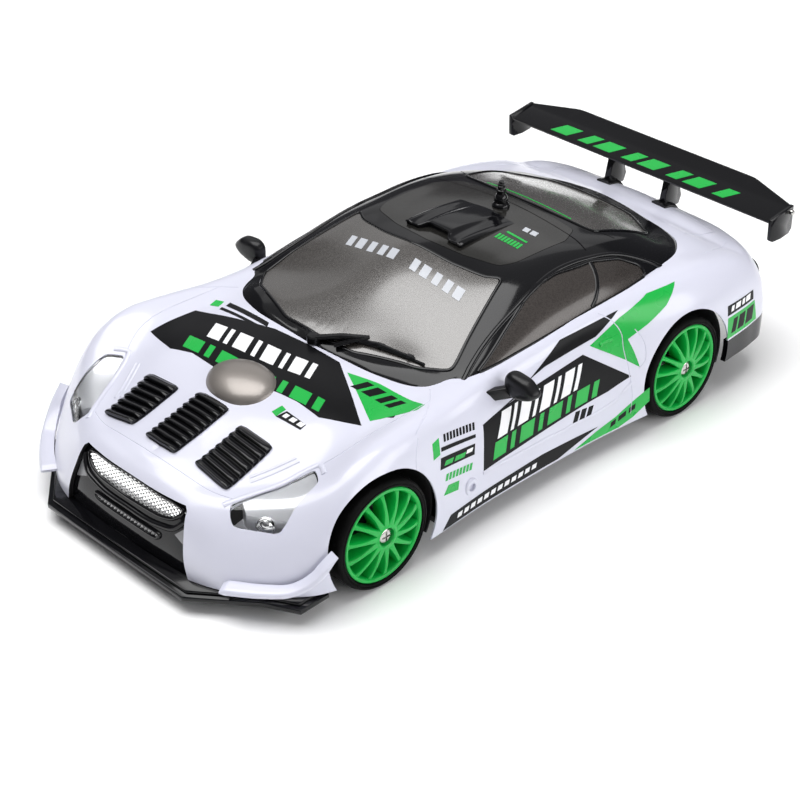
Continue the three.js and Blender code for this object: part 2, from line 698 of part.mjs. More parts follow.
// Crown gear about the Y axis at (x, AXLE_Z), its teeth facing -side.
function crown(x, side, phase) {
  const [back, face, tip] = [BEVEL_R + 2.2, BEVEL_R + 0.75, BEVEL_R - 0.25];
  const disc = side > 0 ? face : -back;
  let gear = rod("y", [x, disc, AXLE_Z], back - face, CROWN_R + 0.9, { sides: 48 });
  for (let i = 0; i < RING_TEETH; i++) {
    const tooth = new THREE.BoxGeometry(1.6, face - tip + 0.2, TOOTH);
    tooth.translate(CROWN_R, (side * (face + 0.2 + tip)) / 2, 0);
    tooth.rotateY(((i + phase) / RING_TEETH) * 2 * Math.PI).translate(x, 0, AXLE_Z);
    gear = join(gear, toSolid(tooth));
  }
  return gear;
}

// ---- wheels ----
// One spoke at the top of the wheel, as an outline in y and z: its face falls from hub to lip.
const SPOKE_FACE = [
  [45.6, 3],
  [50, 3],
  [49.8, 7],
  [48.6, 11.3],
  [45.6, 11.3],
];

function wheelRim(x) {
  const barrel = turned(
    [
      [RIM_BORE_R, 38.7],
      [RIM_R, 38.7],
      [RIM_R, 48.9],
      [11.4, 49.1],
      [RIM_BORE_R, 48.5],
      [RIM_BORE_R, 38.7],
    ],
    0,
    0,
  );
  const hub = turned(
    [
      [0, 45.3],
      [3.5, 45.3],
      [3.3, 50.2],
      [0, 50.2],
    ],
    0,
    0,
    20,
  );
  let rim = join(barrel, hub);
  for (let i = 0; i < SPOKES; i++) {
    const spoke = plate(SPOKE_FACE, "yz", -0.65, 1.3);
    rim = join(rim, spoke.rotate([0, (i / SPOKES) * 360, 0]));
  }
  const bores = [
    rod("y", [0, 45, 0], 2.9, AXLE_R + GAP),
    rod("y", [0, 47, 0], 3, 1.1),
    rod("y", [0, 48.5, 0], 3, 2.5),
  ];
  return moved(cut(rim, ...bores), x, 0, AXLE_Z);
}

function tyre(x) {
  const inner = WHEEL_FACE_Y - TYRE_WIDTH;
  return turned(
    [
      [TYRE_BORE_R, inner + 0.5],
      [TYRE_R - 0.9, inner],
      [TYRE_R, inner + 0.9],
      [TYRE_R, WHEEL_FACE_Y - 0.9],
      [TYRE_R - 0.9, WHEEL_FACE_Y],
      [TYRE_BORE_R, WHEEL_FACE_Y - 0.2],
      [TYRE_BORE_R, inner + 0.5],
    ],
    x,
    AXLE_Z,
  );
}

function wheelScrew(x) {
  const head = rod("y", [x, 48.7, AXLE_Z], 1, 2, { tip: 1.6, sides: 14 });
  const shank = rod("y", [x, 45, AXLE_Z], 4, 0.8, { sides: 10 });
  const slots = join(
    box([x - 1.2, 49.2, AXLE_Z - 0.25], [x + 1.2, 50, AXLE_Z + 0.25]),
    box([x - 0.25, 49.2, AXLE_Z - 1.2], [x + 0.25, 50, AXLE_Z + 1.2]),
  );
  return cut(join(head, shank), slots);
}

for (const [end, x] of [
  ["front", FRONT_AXLE_X],
  ["rear", REAR_AXLE_X],
]) {
  pair(`rim_${end}`, wheelRim(x), green);
  pair(`tyre_${end}`, tyre(x), rubber);
  pair(`wheel_screw_${end}`, wheelScrew(x), steel);
}

// ---- axles and shafts ----
const screwSocket = (x) => rod("y", [x, 44.7, AXLE_Z], 4, 1.1, { sides: 12 });
const axleRod = (x) => rod("y", [x, -AXLE_END_Y, AXLE_Z], 2 * AXLE_END_Y, AXLE_R);
node(
  "rear_axle",
  cut(join(axleRod(REAR_AXLE_X), crown(REAR_AXLE_X, 1, 0.5)), bothSides(screwSocket(REAR_AXLE_X))),
  steel,
);

// The front shaft ends in a ball at each kingpin, inside the cup of the stub axle.
const BALL_R = 1.8;
const ball = new THREE.SphereGeometry(BALL_R, 16, 12).translate(FRONT_AXLE_X, KINGPIN_Y, AXLE_Z);
const frontRod = rod("y", [FRONT_AXLE_X, -KINGPIN_Y, AXLE_Z], 2 * KINGPIN_Y, 1);
const frontSleeve = rod("y", [FRONT_AXLE_X, -14, AXLE_Z], 28, AXLE_R);
node(
  "front_driveshaft",
  join(frontRod, frontSleeve, bothSides(toSolid(ball)), crown(FRONT_AXLE_X, -1, 0.5)),
  steel,
);
const CUP_R = 3;
const stub = join(
  rod("y", [FRONT_AXLE_X, KINGPIN_Y - 1.5, AXLE_Z], 4, CUP_R),
  rod("y", [FRONT_AXLE_X, KINGPIN_Y, AXLE_Z], AXLE_END_Y - KINGPIN_Y, AXLE_R),
);
const cupBore = rod("y", [FRONT_AXLE_X, KINGPIN_Y - 2, AXLE_Z], 4.2, BALL_R + 0.4);
pair("stub_axle", cut(stub, cupBore, screwSocket(FRONT_AXLE_X)), steel);

const [shaftBack, shaftFront] = [REAR_AXLE_X + CROWN_R, FRONT_AXLE_X - CROWN_R];
node(
  "center_driveshaft",
  join(
    rod("x", [shaftBack, 0, AXLE_Z], shaftFront - shaftBack, 1.2),
    spurAlongX(BEVEL_TEETH, shaftBack - 0.7, 1.4, 0, AXLE_Z),
    spurAlongX(BEVEL_TEETH, shaftFront - 0.7, 1.4, 0, AXLE_Z),
    spurAlongX(SPUR_TEETH, SPUR_X, 2.5, 0, AXLE_Z),
  ),
  steel,
);

const MOTOR_Y = -((SPUR_TEETH + MOTOR_TEETH) * GEAR_MODULE) / 2;
node(
  "motor_pinion",
  join(
    rod("x", [SPUR_X - 1, MOTOR_Y, AXLE_Z], 10, 0.75, { sides: 12 }),
    spurAlongX(MOTOR_TEETH, SPUR_X - 0.5, 3.5, MOTOR_Y, AXLE_Z, 0.5),
  ),
  steel,
);
const can = rod("x", [SPUR_X + 4.5, MOTOR_Y, AXLE_Z], 20, 6, { sides: 24 });
const canFlats = join(
  box([-30, MOTOR_Y - 8, AXLE_Z + 5], [0, MOTOR_Y + 8, AXLE_Z + 8]),
  box([-30, MOTOR_Y - 8, AXLE_Z - 8], [0, MOTOR_Y + 8, AXLE_Z - 5]),
);
node(
  "drive_motor",
  cut(can, canFlats, rod("x", [SPUR_X + 4, MOTOR_Y, AXLE_Z], 6, 1.05, { sides: 12 })),
  steel,
);

// ---- gearboxes: open-sided cases round the crown gears ----
function gearbox(x) {
  const toShaft = x > 0 ? -1 : 1;
  const [near, far] = [x + toShaft * 8.6, x - toShaft * 7.8];
  const [x0, x1] = [Math.min(near, far), Math.max(near, far)];
  const half = 6;
  const shell = box([x0, -half, PAN_FLOOR_Z + GAP], [x1, half, 21.8]);
  const cavity = join(
    rod("y", [x, -half + 1, AXLE_Z], 2 * half - 2, CROWN_R + 1.2, { sides: 32 }),
    rod("x", [Math.min(x, near - toShaft), 0, AXLE_Z], 7.6, 3.1),
  );
  const bores = join(
    rod("y", [x, -20, AXLE_Z], 40, AXLE_R + GAP),
    rod("x", [Math.min(x, near - toShaft * -5), 0, AXLE_Z], 14, 1.2 + GAP),
  );
  return cut(shell, cavity, bores);
}
node("front_gearbox", gearbox(FRONT_AXLE_X), nylon);
node("rear_gearbox", gearbox(REAR_AXLE_X), nylon);

// ---- steering ----
const knuckleBody = join(
  rod("y", [FRONT_AXLE_X, 37.8, AXLE_Z], 7, 4.2, { sides: 24 }),
  rod("z", [FRONT_AXLE_X, KINGPIN_Y, 7.2], 14.6, 1.1),
  box([FRONT_AXLE_X - STEER_ARM - 1.1, 39.9, 17], [FRONT_AXLE_X, 42.1, 18.4]),
  rod("z", [FRONT_AXLE_X - STEER_ARM, KINGPIN_Y, 17.5], 3, 0.7, { sides: 12 }),
  box([FRONT_AXLE_X - 2.6, 39.9, 14], [FRONT_AXLE_X, 42.1, 18.4]),
);
const knuckleBore = join(
  rod("y", [FRONT_AXLE_X, 37, AXLE_Z], 6.8, CUP_R + GAP),
  rod("y", [FRONT_AXLE_X, 43, AXLE_Z], 3, AXLE_R + GAP),
);
pair("knuckle", cut(knuckleBody, knuckleBore), nylon);

const pinX = FRONT_AXLE_X - STEER_ARM;
const LINK_MID_X = HORN_PIVOT[0] + HORN_ARM;
const linkPlan = [
  [LINK_MID_X - 1.6, 0],
  [LINK_MID_X - 1.6, 22],
  [pinX - 1.7, 29],
  [pinX - 1.7, 43],
  [pinX + 2.1, 43],
  [pinX + 2.1, 28],
  [LINK_MID_X + 1.6, 20],
  [LINK_MID_X + 1.6, 0],
];
const linkBar = plate(whole(linkPlan), "xy", LINK_Z[0], LINK_Z[1] - LINK_Z[0]);
const linkSlot = box([pinX - 1, KINGPIN_Y - 1, 18], [pinX + 1.45, KINGPIN_Y + 1, 21]);
const hornSlot = box([LINK_MID_X - 1.3, HORN_PIVOT[1] - 1, 18], [LINK_MID_X + 1, HORN_PIVOT[1] + 1, 21]);
const widerMid = box(
  [LINK_MID_X - 2.3, HORN_PIVOT[1] - 2.2, LINK_Z[0]],
  [LINK_MID_X + 2, HORN_PIVOT[1] + 2.2, LINK_Z[1]],
);
node("tie_rod", cut(join(linkBar, widerMid), bothSides(linkSlot), hornSlot), nylon);

const [hornX, hornY] = HORN_PIVOT;
node(
  "servo_horn",
  cut(
    join(
      rod("z", [hornX, hornY, 18.6], 2.8, 2.4, { sides: 20 }),
      box([hornX, hornY - 1.3, 20.2], [hornX + HORN_ARM + 1.3, hornY + 1.3, 21.4]),
      rod("z", [hornX + HORN_ARM, hornY, 18.5], 2, 0.7, { sides: 12 }),
    ),
    rod("z", [hornX, hornY, 18], 2.5, 1.6),
  ),
  white,
);
node(
  "steering_servo",
  join(
    box([25, 6.5, PAN_FLOOR_Z + GAP], [42, 21.5, 18.2]),
    rod("z", [hornX, hornY, 18], 2.2, 1.3),
    box([22.4, 8, 13], [25, 20, 14.6]),
  ),
  nylon,
);

// ---- chassis pan, with the arms that hold the kingpins ----
const armPost = (z0, z1) => box([FRONT_AXLE_X - 2.2, 24, z0], [FRONT_AXLE_X + 2.2, 43, z1]);
const arms = join(
  armPost(7.4, 9),
  armPost(20.4, 22),
  box([FRONT_AXLE_X - 2.2, 24, PAN_BOTTOM_Z], [FRONT_AXLE_X + 2.2, 27.5, 22]),
);
const pan = join(
  box([-30, -45, PAN_BOTTOM_Z], [36, 45, PAN_FLOOR_Z]),
  box([30, -27.5, PAN_BOTTOM_Z], [83.6, 27.5, PAN_FLOOR_Z]).subtract(
    bothSides(box([70, 24, 0], [90, 30, 10])),
  ),
  box([-80, -33, PAN_BOTTOM_Z], [-28, 33, PAN_FLOOR_Z]),
  bothSides(box([-30, 43.6, PAN_BOTTOM_Z], [36, 45, 11])),
  bothSides(box([26.4, 40.5, PAN_BOTTOM_Z], [31.4, 46.2, 16.5])),
  bothSides(arms),
  box([12, -2.8, PAN_BOTTOM_Z], [15, 2.8, 17]),
  box([-17, MOTOR_Y - 5, PAN_BOTTOM_Z], [-10, MOTOR_Y + 5, 8.7]),
  box([-80, -33, PAN_BOTTOM_Z], [-78.4, 33, 12]),
  bothSides(box([-12, 7.2, PAN_BOTTOM_Z], [14, 8.4, 9])),
  bothSides(box([-66, 29, PAN_BOTTOM_Z], [-34, 31, 22])),
);
const SWITCH = [-64, -18];
const panHoles = [
  bothSides(rod("z", [FRONT_AXLE_X, KINGPIN_Y, 0], 30, 1.4)),
  bothSides(screwHole(1.6)),
  rod("x", [10, 0, AXLE_Z], 8, 1.5),
  bothSides(rod("y", [FRONT_AXLE_X, 20, AXLE_Z], 10, 2)),
  bothSides(rod("y", [REAR_AXLE_X, 20, AXLE_Z], 15, AXLE_R + GAP)),
  box([SWITCH[0] - 4.6, SWITCH[1] - 1.4, 0], [SWITCH[0] + 4.6, SWITCH[1] + 1.4, 8]),
];
node("chassis_tub", cut(pan, ...panHoles), satin);

node(
  "power_switch",
  join(
    box([SWITCH[0] - 2.2, SWITCH[1] - 1.1, 3], [SWITCH[0] + 0.2, SWITCH[1] + 1.1, 6]),
    box([SWITCH[0] - 2.9, SWITCH[1] - 2, 5.9], [SWITCH[0] + 0.9, SWITCH[1] + 2, 7]),
  ),
  satin,
);

const cell = (y) => rod("x", [-20, y, 13], 40, 6.8, { sides: 20 });
node(
  "battery_pack",
  join(cell(17), cell(30), box([-20, 17, PAN_FLOOR_Z + GAP], [20, 30, 19.8])),
  cellWrap,
);
const board = join(
  box([-8, -40, 9], [22, -16.5, 10.4]),
  box([-2, -34, 10], [8, -24, 12]),
  box([12, -38, 10], [18, -30, 15]),
  box([14, -26, 10], [19, -20, 12.6]),
  rod("z", [2, -20, 10], 6, 2.2, { sides: 12 }),
);
node("circuit_board", join(board, box([-6, -38, PAN_FLOOR_Z + GAP], [-3, -35, 9.5])), boardGreen);

export default car;
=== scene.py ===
"""Looks of a 1:24 radio-controlled drift car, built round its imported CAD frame.

Lengths in this file are millimetres; every mesh is scaled to metres as it is made.
+X is forward, +Y is the car's left and +Z is up, as in the CAD.
"""

import math

import bmesh
import bpy
from mathutils import Matrix, Vector
from mathutils.bvhtree import BVHTree
from mathutils.geometry import barycentric_transform


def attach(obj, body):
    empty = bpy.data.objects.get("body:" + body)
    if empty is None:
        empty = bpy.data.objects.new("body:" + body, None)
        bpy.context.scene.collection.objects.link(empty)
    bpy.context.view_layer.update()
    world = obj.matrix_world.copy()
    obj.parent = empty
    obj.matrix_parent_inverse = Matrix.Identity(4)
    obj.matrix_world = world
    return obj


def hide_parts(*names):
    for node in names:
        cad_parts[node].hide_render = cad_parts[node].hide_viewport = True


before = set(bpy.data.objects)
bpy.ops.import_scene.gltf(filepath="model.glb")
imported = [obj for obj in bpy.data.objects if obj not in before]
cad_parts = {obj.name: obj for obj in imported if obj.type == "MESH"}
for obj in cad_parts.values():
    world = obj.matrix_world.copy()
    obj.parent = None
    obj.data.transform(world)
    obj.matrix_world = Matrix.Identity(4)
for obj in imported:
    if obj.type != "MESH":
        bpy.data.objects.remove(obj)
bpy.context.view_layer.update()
scene = bpy.context.scene
MM = 0.001

# Where the CAD has the axles and the wheel arches, and the sign of each side's Y.
FRONT_AXLE_X = 58
REAR_AXLE_X = -50
AXLE_Z = 14
ARCH_R = 16.6
SIDES = {"left": 1, "right": -1}


# ---- materials ----
class Nodes:
    """Short calls for building a material's node tree."""

    def __init__(self, name):
        self.material = bpy.data.materials.new(name)
        self.material.use_nodes = True
        self.tree = self.material.node_tree
        self.shader = self.tree.nodes["Principled BSDF"]

    def add(self, kind, links=None, **values):
        made = self.tree.nodes.new("ShaderNode" + kind)
        for key, value in values.items():
            setattr(made, key, value)
        for socket, source in (links or {}).items():
            if isinstance(source, bpy.types.NodeSocket):
                self.tree.links.new(source, made.inputs[socket])
            else:
                made.inputs[socket].default_value = source
        return made

    def set(self, **values):
        for key, value in values.items():
            socket = self.shader.inputs[key.replace("_", " ")]
            if isinstance(value, bpy.types.NodeSocket):
                self.tree.links.new(value, socket)
            else:
                socket.default_value = value

    def place(self):
        return self.add("TexCoord").outputs["Object"]

    def noise(self, scale, detail=3):
        links = {"Vector": self.place(), "Scale": scale, "Detail": detail}
        return self.add("TexNoise", links).outputs["Fac"]

    def spread(self, value, low, high, start=0.3, end=0.7):
        """The value's stretch from start to end, as a number from low to high."""
        links = {"Value": value, "From Min": start, "From Max": end, "To Min": low, "To Max": high}
        return self.add("MapRange", links).outputs["Result"]

    def blend(self, factor, first, second):
        made = self.add("Mix", data_type="RGBA")
        self.tree.links.new(factor, made.inputs["Factor"])
        made.inputs["A"].default_value = (*first, 1)
        made.inputs["B"].default_value = (*second, 1)
        return made.outputs["Result"]

    def bump(self, height, strength, distance=0.0001):
        links = {"Height": height, "Strength": strength, "Distance": distance}
        return self.add("Bump", links).outputs["Normal"]


CLOUD_SCALE = 45
GLOSS_SCALE = 160
FLAKE_SCALE = 3600
WHOLE_NOISE = (0.2, 0.8)  # nearly all that the noise gives, so that no flat patches show


def tinted(color, share):
    return tuple(min(1, c * share) for c in color)


def plastic(
    name, color, roughness, vary=0.06, coat=0.0, grain=0.1, grain_scale=900, metal=0.0, shine=0.5,
):
    """Moulded plastic, paint or metal: cloudy colour, uneven gloss and a fine surface grain."""
    n = Nodes(name)
    clouds = n.spread(n.noise(CLOUD_SCALE), 0, 1, *WHOLE_NOISE)
    n.set(Base_Color=n.blend(clouds, tinted(color, 1 - vary), tinted(color, 1 + vary)))
    gloss = n.noise(GLOSS_SCALE, 1)
    n.set(Roughness=n.spread(gloss, roughness * 0.92, roughness * 1.08, *WHOLE_NOISE))
    n.set(Metallic=metal, Coat_Weight=coat, Coat_Roughness=0.06, Specular_IOR_Level=shine)
    n.set(Normal=n.bump(n.noise(grain_scale, 2), grain))
    return n.material


def flake_film(name, color, roughness=0.28, metal=0.4, coat=0.5, shine=0.3):
    """Smoked window film with a fine metallic flake."""
    n = Nodes(name)
    cells = n.add("TexVoronoi", {"Vector": n.place(), "Scale": FLAKE_SCALE}).outputs["Color"]
    sparkle = n.add("SeparateColor", {"Color": cells}).outputs["Red"]
    clouds = n.add("Math", {0: n.spread(sparkle, 0, 0.5, 0, 1)}, operation="ADD")
    n.tree.links.new(n.spread(n.noise(20), 0.1, 0.4), clouds.inputs[1])
    n.set(Base_Color=n.blend(clouds.outputs[0], tinted(color, 0.8), tinted(color, 1.25)))
    n.set(Roughness=n.spread(sparkle, roughness * 0.8, roughness * 1.3, 0, 1))
    n.set(Metallic=metal, Coat_Weight=coat, Coat_Roughness=0.13, Specular_IOR_Level=shine)
    n.set(Normal=n.bump(sparkle, 0.06))
    return n.material


def clear_plastic(name, color, roughness=0.03):
    """See-through plastic with faint moulding marks."""
    n = Nodes(name)
    n.set(Base_Color=n.blend(n.spread(n.noise(60), 0, 1), tinted(color, 0.97), color))
    n.set(Roughness=n.spread(n.noise(200), roughness, roughness * 2))
    n.set(Transmission_Weight=1.0, IOR=1.35)
    n.set(Normal=n.bump(n.noise(400, 2), 0.03))
    return n.material


def rubber(name):
    """Dull black rubber with a fine grain."""
    n = Nodes(name)
    black, worn = (0.003, 0.003, 0.003), (0.006, 0.006, 0.006)
    n.set(Base_Color=n.blend(n.spread(n.noise(80), 0, 1), black, worn))
    n.set(Roughness=n.spread(n.noise(300), 0.42, 0.6))
    n.set(Specular_IOR_Level=0.06)
    n.set(Normal=n.bump(n.noise(2500, 4), 0.35))
    return n.material


# After the name: colour, roughness, then how much the colour varies, the clear coat's weight,
# and the strength and scale of the grain.
WHITE = plastic("white_paint", (0.63, 0.635, 0.735), 0.3, 0.003, 0.4, 0.02, 500)
BLACK = plastic("black_gloss_paint", (0.004, 0.004, 0.005), 0.12, 0.2, 0.25, 0.02, 500, shine=0.22)
VINYL_BLACK = plastic("vinyl_black", (0.005, 0.005, 0.006), 0.3, 0.25, 0.0, 0.05, 1200, shine=0.12)
VINYL_GREEN = plastic("vinyl_green", (0.008, 0.40, 0.055), 0.28, 0.06, 0.15, 0.05, 1200, shine=0.3)
VINYL_WHITE = plastic("vinyl_white", (0.85, 0.85, 0.87), 0.28, 0.015, 0.3, 0.05, 1200)
VINYL_PALE = plastic("vinyl_pale", (0.50, 0.52, 0.56), 0.3, 0.02, 0.2, 0.05, 1200)
VINYL_GREY = plastic("vinyl_grey", (0.23, 0.23, 0.24), 0.25, 0.1, 0.4, 0.05, 1200)
SATIN = plastic("black_satin_plastic", (0.006, 0.006, 0.007), 0.3, 0.2, 0.0, 0.2, 1600, shine=0.3)
# Near-black painted shade for the hidden inner faces of the shells and for the arch sheets; it is
# not the plastic's own colour.
INNER_SHADE = plastic("shell_inside_shade", (0.01, 0.01, 0.011), 0.55, 0.2, 0.0, 0.3, 900)
GREEN = plastic(
    "green_wheel_plastic", (0.004, 0.42, 0.06), 0.3, 0.07, 0.05, 0.12, 1300, shine=0.35,
)
CHROME = plastic("plated_silver", (0.72, 0.72, 0.72), 0.16, 0.08, 0.0, 0.1, 1500, metal=1.0)
STEEL = plastic("turned_steel", (0.55, 0.54, 0.52), 0.24, 0.1, 0.0, 0.2, 2200, metal=1.0)
NYLON = plastic("dark_nylon", (0.03, 0.03, 0.032), 0.5, 0.15, 0.0, 0.3, 1300)
BRONZE = plastic("bulge_metallic", (0.27, 0.245, 0.225), 0.34, 0.12, 0.3, 0.12, 2400, metal=0.5)
CELL = plastic("battery_wrap", (0.02, 0.09, 0.36), 0.3, 0.1, 0.3, 0.1, 700)
BOARD = plastic("solder_mask", (0.012, 0.1, 0.03), 0.35, 0.2, 0.1, 0.3, 800)
RED = plastic("red_lens_plastic", (0.35, 0.006, 0.008), 0.12, 0.15, 0.6, 0.1, 700)
FILM = flake_film("window_film", (0.062, 0.056, 0.051), 0.24, 0.2, 1.0, 1.0)
# The window film again, a little warmer and made darker for the side windows; the darker colour is
# painted shade.
SHADED_SIDE_FILM = flake_film("side_window_film_shaded", (0.05, 0.043, 0.039), 0.28)
LAMP_SILVER = plastic("lamp_silver", (0.80, 0.80, 0.82), 0.34, 0.08, 0.3, 0.1, 1500, metal=0.35)
ROOF = flake_film("roof_film", (0.024, 0.023, 0.021), 0.16)
CLEAR = clear_plastic("clear_lens_plastic", (0.97, 0.98, 0.99))
TYRE = rubber("tyre_rubber_grain")


# ---- meshes ----
def add_object(name, mesh, material):
    """An object in the scene with one material or a list of them."""
    made = bpy.data.objects.new(name, mesh)
    scene.collection.objects.link(made)
    for one in material if isinstance(material, (list, tuple)) else [material]:
        mesh.materials.append(one)
    return made


def shape(name, verts, faces, material, angle=35, bevel=0.0, segments=2):
    """A mesh from millimetre points, smooth except at edges sharper than the angle."""
    mesh = bpy.data.meshes.new(name)
    mesh.from_pydata([tuple(c * MM for c in v) for v in verts], [], faces)
    return settle(add_object(name, mesh, material), angle, bevel, segments)


def settle(made, angle=35, bevel=0.0, segments=2):
    """Outward normals, smooth shading with sharp edges kept, and an optional rounded edge."""
    work = bmesh.new()
    work.from_mesh(made.data)
    bmesh.ops.remove_doubles(work, verts=work.verts, dist=1e-7)
    bmesh.ops.recalc_face_normals(work, faces=work.faces)
    work.to_mesh(made.data)
    work.free()
    if bevel:
        rounding = made.modifiers.new("rounded_edges", "BEVEL")
        rounding.width = bevel * MM
        rounding.segments = segments
        rounding.limit_method = "ANGLE"
        rounding.angle_limit = math.radians(angle)
        rounding.harden_normals = True
        bake(made)
    made.data.shade_smooth()
    made.data.set_sharp_from_angle(angle=math.radians(angle))
    return made


def bake(made):
    """Applies the modifiers."""
    graph = bpy.context.evaluated_depsgraph_get()
    mesh = bpy.data.meshes.new_from_object(made.evaluated_get(graph))
    made.modifiers.clear()
    made.data = mesh
    return made


def combine(name, made):
    """Joins several objects into one."""
    work = bmesh.new()
    materials = []
    for one in made:
        offset = []
        for material in one.data.materials:
            if material not in materials:
                materials.append(material)
            offset.append(materials.index(material))
        before = len(work.faces)
        work.from_mesh(one.data)
        work.faces.ensure_lookup_table()
        for face in work.faces[before:]:
            face.material_index = offset[face.material_index] if offset else 0
        bpy.data.objects.remove(one)
    mesh = bpy.data.meshes.new(name)
    work.to_mesh(mesh)
    work.free()
    return add_object(name, mesh, materials)


def boolean(made, cutter, operation="DIFFERENCE", keep=False):
    """Cuts or intersects; the cutter takes the material of what it cuts."""
    cutter.data.materials.clear()
    cutter.data.materials.append(made.data.materials[0])
    step = made.modifiers.new("cut", "BOOLEAN")
    step.operation = operation
    step.solver = "MANIFOLD"
    step.object = cutter
    bake(made)
    if not keep:
        bpy.data.objects.remove(cutter)
    return made


def ride(made, body="chassis", replaces=()):
    """Puts a piece on a body of the frame, with the CAD nodes it stands for."""
    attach(made, body)
    if replaces:
        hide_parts(*replaces)
    return made


def prism(name, outline, plane, low, high, material=None, **options):
    """An outline pushed along the axis that the plane leaves out."""
    count = len(outline)
    flat = [(a, b, c) for c in (low, high) for a, b in outline]
    order = {"xy": (0, 1, 2), "xz": (0, 2, 1), "yz": (2, 0, 1)}[plane]
    verts = [tuple(point[k] for k in order) for point in flat]
    faces = [tuple(range(count)), tuple(reversed(range(count, 2 * count)))]
    for i in range(count):
        k = (i + 1) % count
        faces.append((i, i + count, k + count, k))
    return shape(name, verts, faces, material or NYLON, **options)


def box(name, low, high, material=None, **options):
    outline = [(low[0], low[1]), (high[0], low[1]), (high[0], high[1]), (low[0], high[1])]
    return prism(name, outline, "xy", low[2], high[2], material, **options)


def turned(name, profile, axis, centre, material=None, sides=64, **options):
    """A lathe shape: profile pairs are (radius, distance along the axis)."""
    verts, faces = [], []
    count = len(profile)
    for s in range(sides):
        angle = 2 * math.pi * s / sides
        for radius, reach in profile:
            u, v = radius * math.cos(angle), radius * math.sin(angle)
            offset = {"x": (reach, u, v), "y": (u, reach, v), "z": (u, v, reach)}[axis]
            verts.append(tuple(a + b for a, b in zip(centre, offset)))
    for s in range(sides):
        t = (s + 1) % sides
        for i in range(count - 1):
            faces.append((s * count + i, s * count + i + 1, t * count + i + 1, t * count + i))
    made = shape(name, verts, faces, material or NYLON, **options)
    work = bmesh.new()
    work.from_mesh(made.data)
    bmesh.ops.dissolve_degenerate(work, edges=work.edges, dist=1e-8)
    bmesh.ops.holes_fill(work, edges=work.edges)
    work.to_mesh(made.data)
    work.free()
    return settle(made, options.get("angle", 35))


def smoothed(outline, rounds=2):
    """Cuts an outline's corners, so that they turn round."""
    for _ in range(rounds):
        next_outline = []
        for i, a in enumerate(outline):
            b = outline[(i + 1) % len(outline)]
            reach = math.dist(a, b)
            share = min(0.25, 0.8 / max(reach, 0.01))
            next_outline.append(tuple(p + (q - p) * share for p, q in zip(a, b)))
            next_outline.append(tuple(q + (p - q) * share for p, q in zip(a, b)))
        outline = next_outline
    return outline


def lerp(a, b, t):
    return a + (b - a) * t


def stepped(points, pitch, close=False):
    """Points along a line or round an outline, in short even steps."""
    line = []
    ends = points[1:] + points[:1] if close else points[1:]
    for (a, b), (c, d) in zip(points, ends):
        parts = max(1, round(math.dist((a, b), (c, d)) / pitch))
        line += [(lerp(a, c, s / parts), lerp(b, d, s / parts)) for s in range(parts)]
    return line if close else line + [points[-1]]


def between(count, size, start=0, close=False):
    """Faces that join each ring of points to the next."""
    faces = []
    for i in range(count if close else count - 1):
        a, b = start + i * size, start + (i + 1) % count * size
        for k in range(size):
            j = (k + 1) % size
            faces.append((a + k, a + j, b + j, b + k))
    return faces


# ---- smooth skins through the CAD's stations ----
def refine(points, steps, before=None, after=None):
    """A smooth curve through the points, with that many parts in each stretch."""
    line = [before or points[0] * 2 - points[1], *points, after or points[-1] * 2 - points[-2]]
    spans = [max((b - a).length, 1e-6) for a, b in zip(line, line[1:])]
    slopes = [(b - a) / span for a, b, span in zip(line, line[1:], spans)]
    tangents = []
    for (a, b), (u, v) in zip(zip(spans, spans[1:]), zip(slopes, slopes[1:])):
        tangents.append((u * b + v * a) / (a + b))
    curve = []
    for i in range(len(points) - 1):
        a, b, span = points[i], points[i + 1], spans[i + 1]
        for s in range(steps):
            t = s / steps
            rise, fall = t * t * (3 - 2 * t), t * t * (t - 1)
            pull = tangents[i] * (t * (1 - t) * (1 - t) * span)
            curve.append(a * (1 - rise) + b * rise + pull + tangents[i + 1] * (fall * span))
    curve.append(points[-1])
    return curve


def mirror(point):
    return Vector((point.x, -point.y, point.z))


def dense(grid, across, up):
    """The grid of stations, refined in both directions and smooth over the centre plane."""
    rows = []
    for j in range(len(grid[0])):
        line = [column[j] for column in grid]
        rows.append(refine(line, across, mirror(line[1]), mirror(line[-2])))
    columns = [[row[i] for row in rows] for i in range(len(rows[0]))]
    return [refine(column, up, None, mirror(column[-2])) for column in columns]


def grid_normals(grid):
    """The surface's normal at each of the grid's points."""
    last_i, last_j = len(grid) - 1, len(grid[0]) - 1
    normals = []
    for i, column in enumerate(grid):
        line = []
        for j, point in enumerate(column):
            left = grid[i - 1][j] if i > 0 else mirror(grid[1][j])
            right = grid[i + 1][j] if i < last_i else mirror(grid[last_i - 1][j])
            below = column[max(j - 1, 0)]
            above = column[j + 1] if j < last_j else mirror(column[last_j - 1])
            normal = (right - left).cross(above - below)
            line.append(normal.normalized() if normal.length > 1e-9 else Vector((0, 0, 1)))
        normals.append(line)
    return normals


# A face this deep (mm) that does not look outwards belongs to the inside of a shell.
INSIDE_DEPTH = 0.9
INSIDE_TURN = 0.2


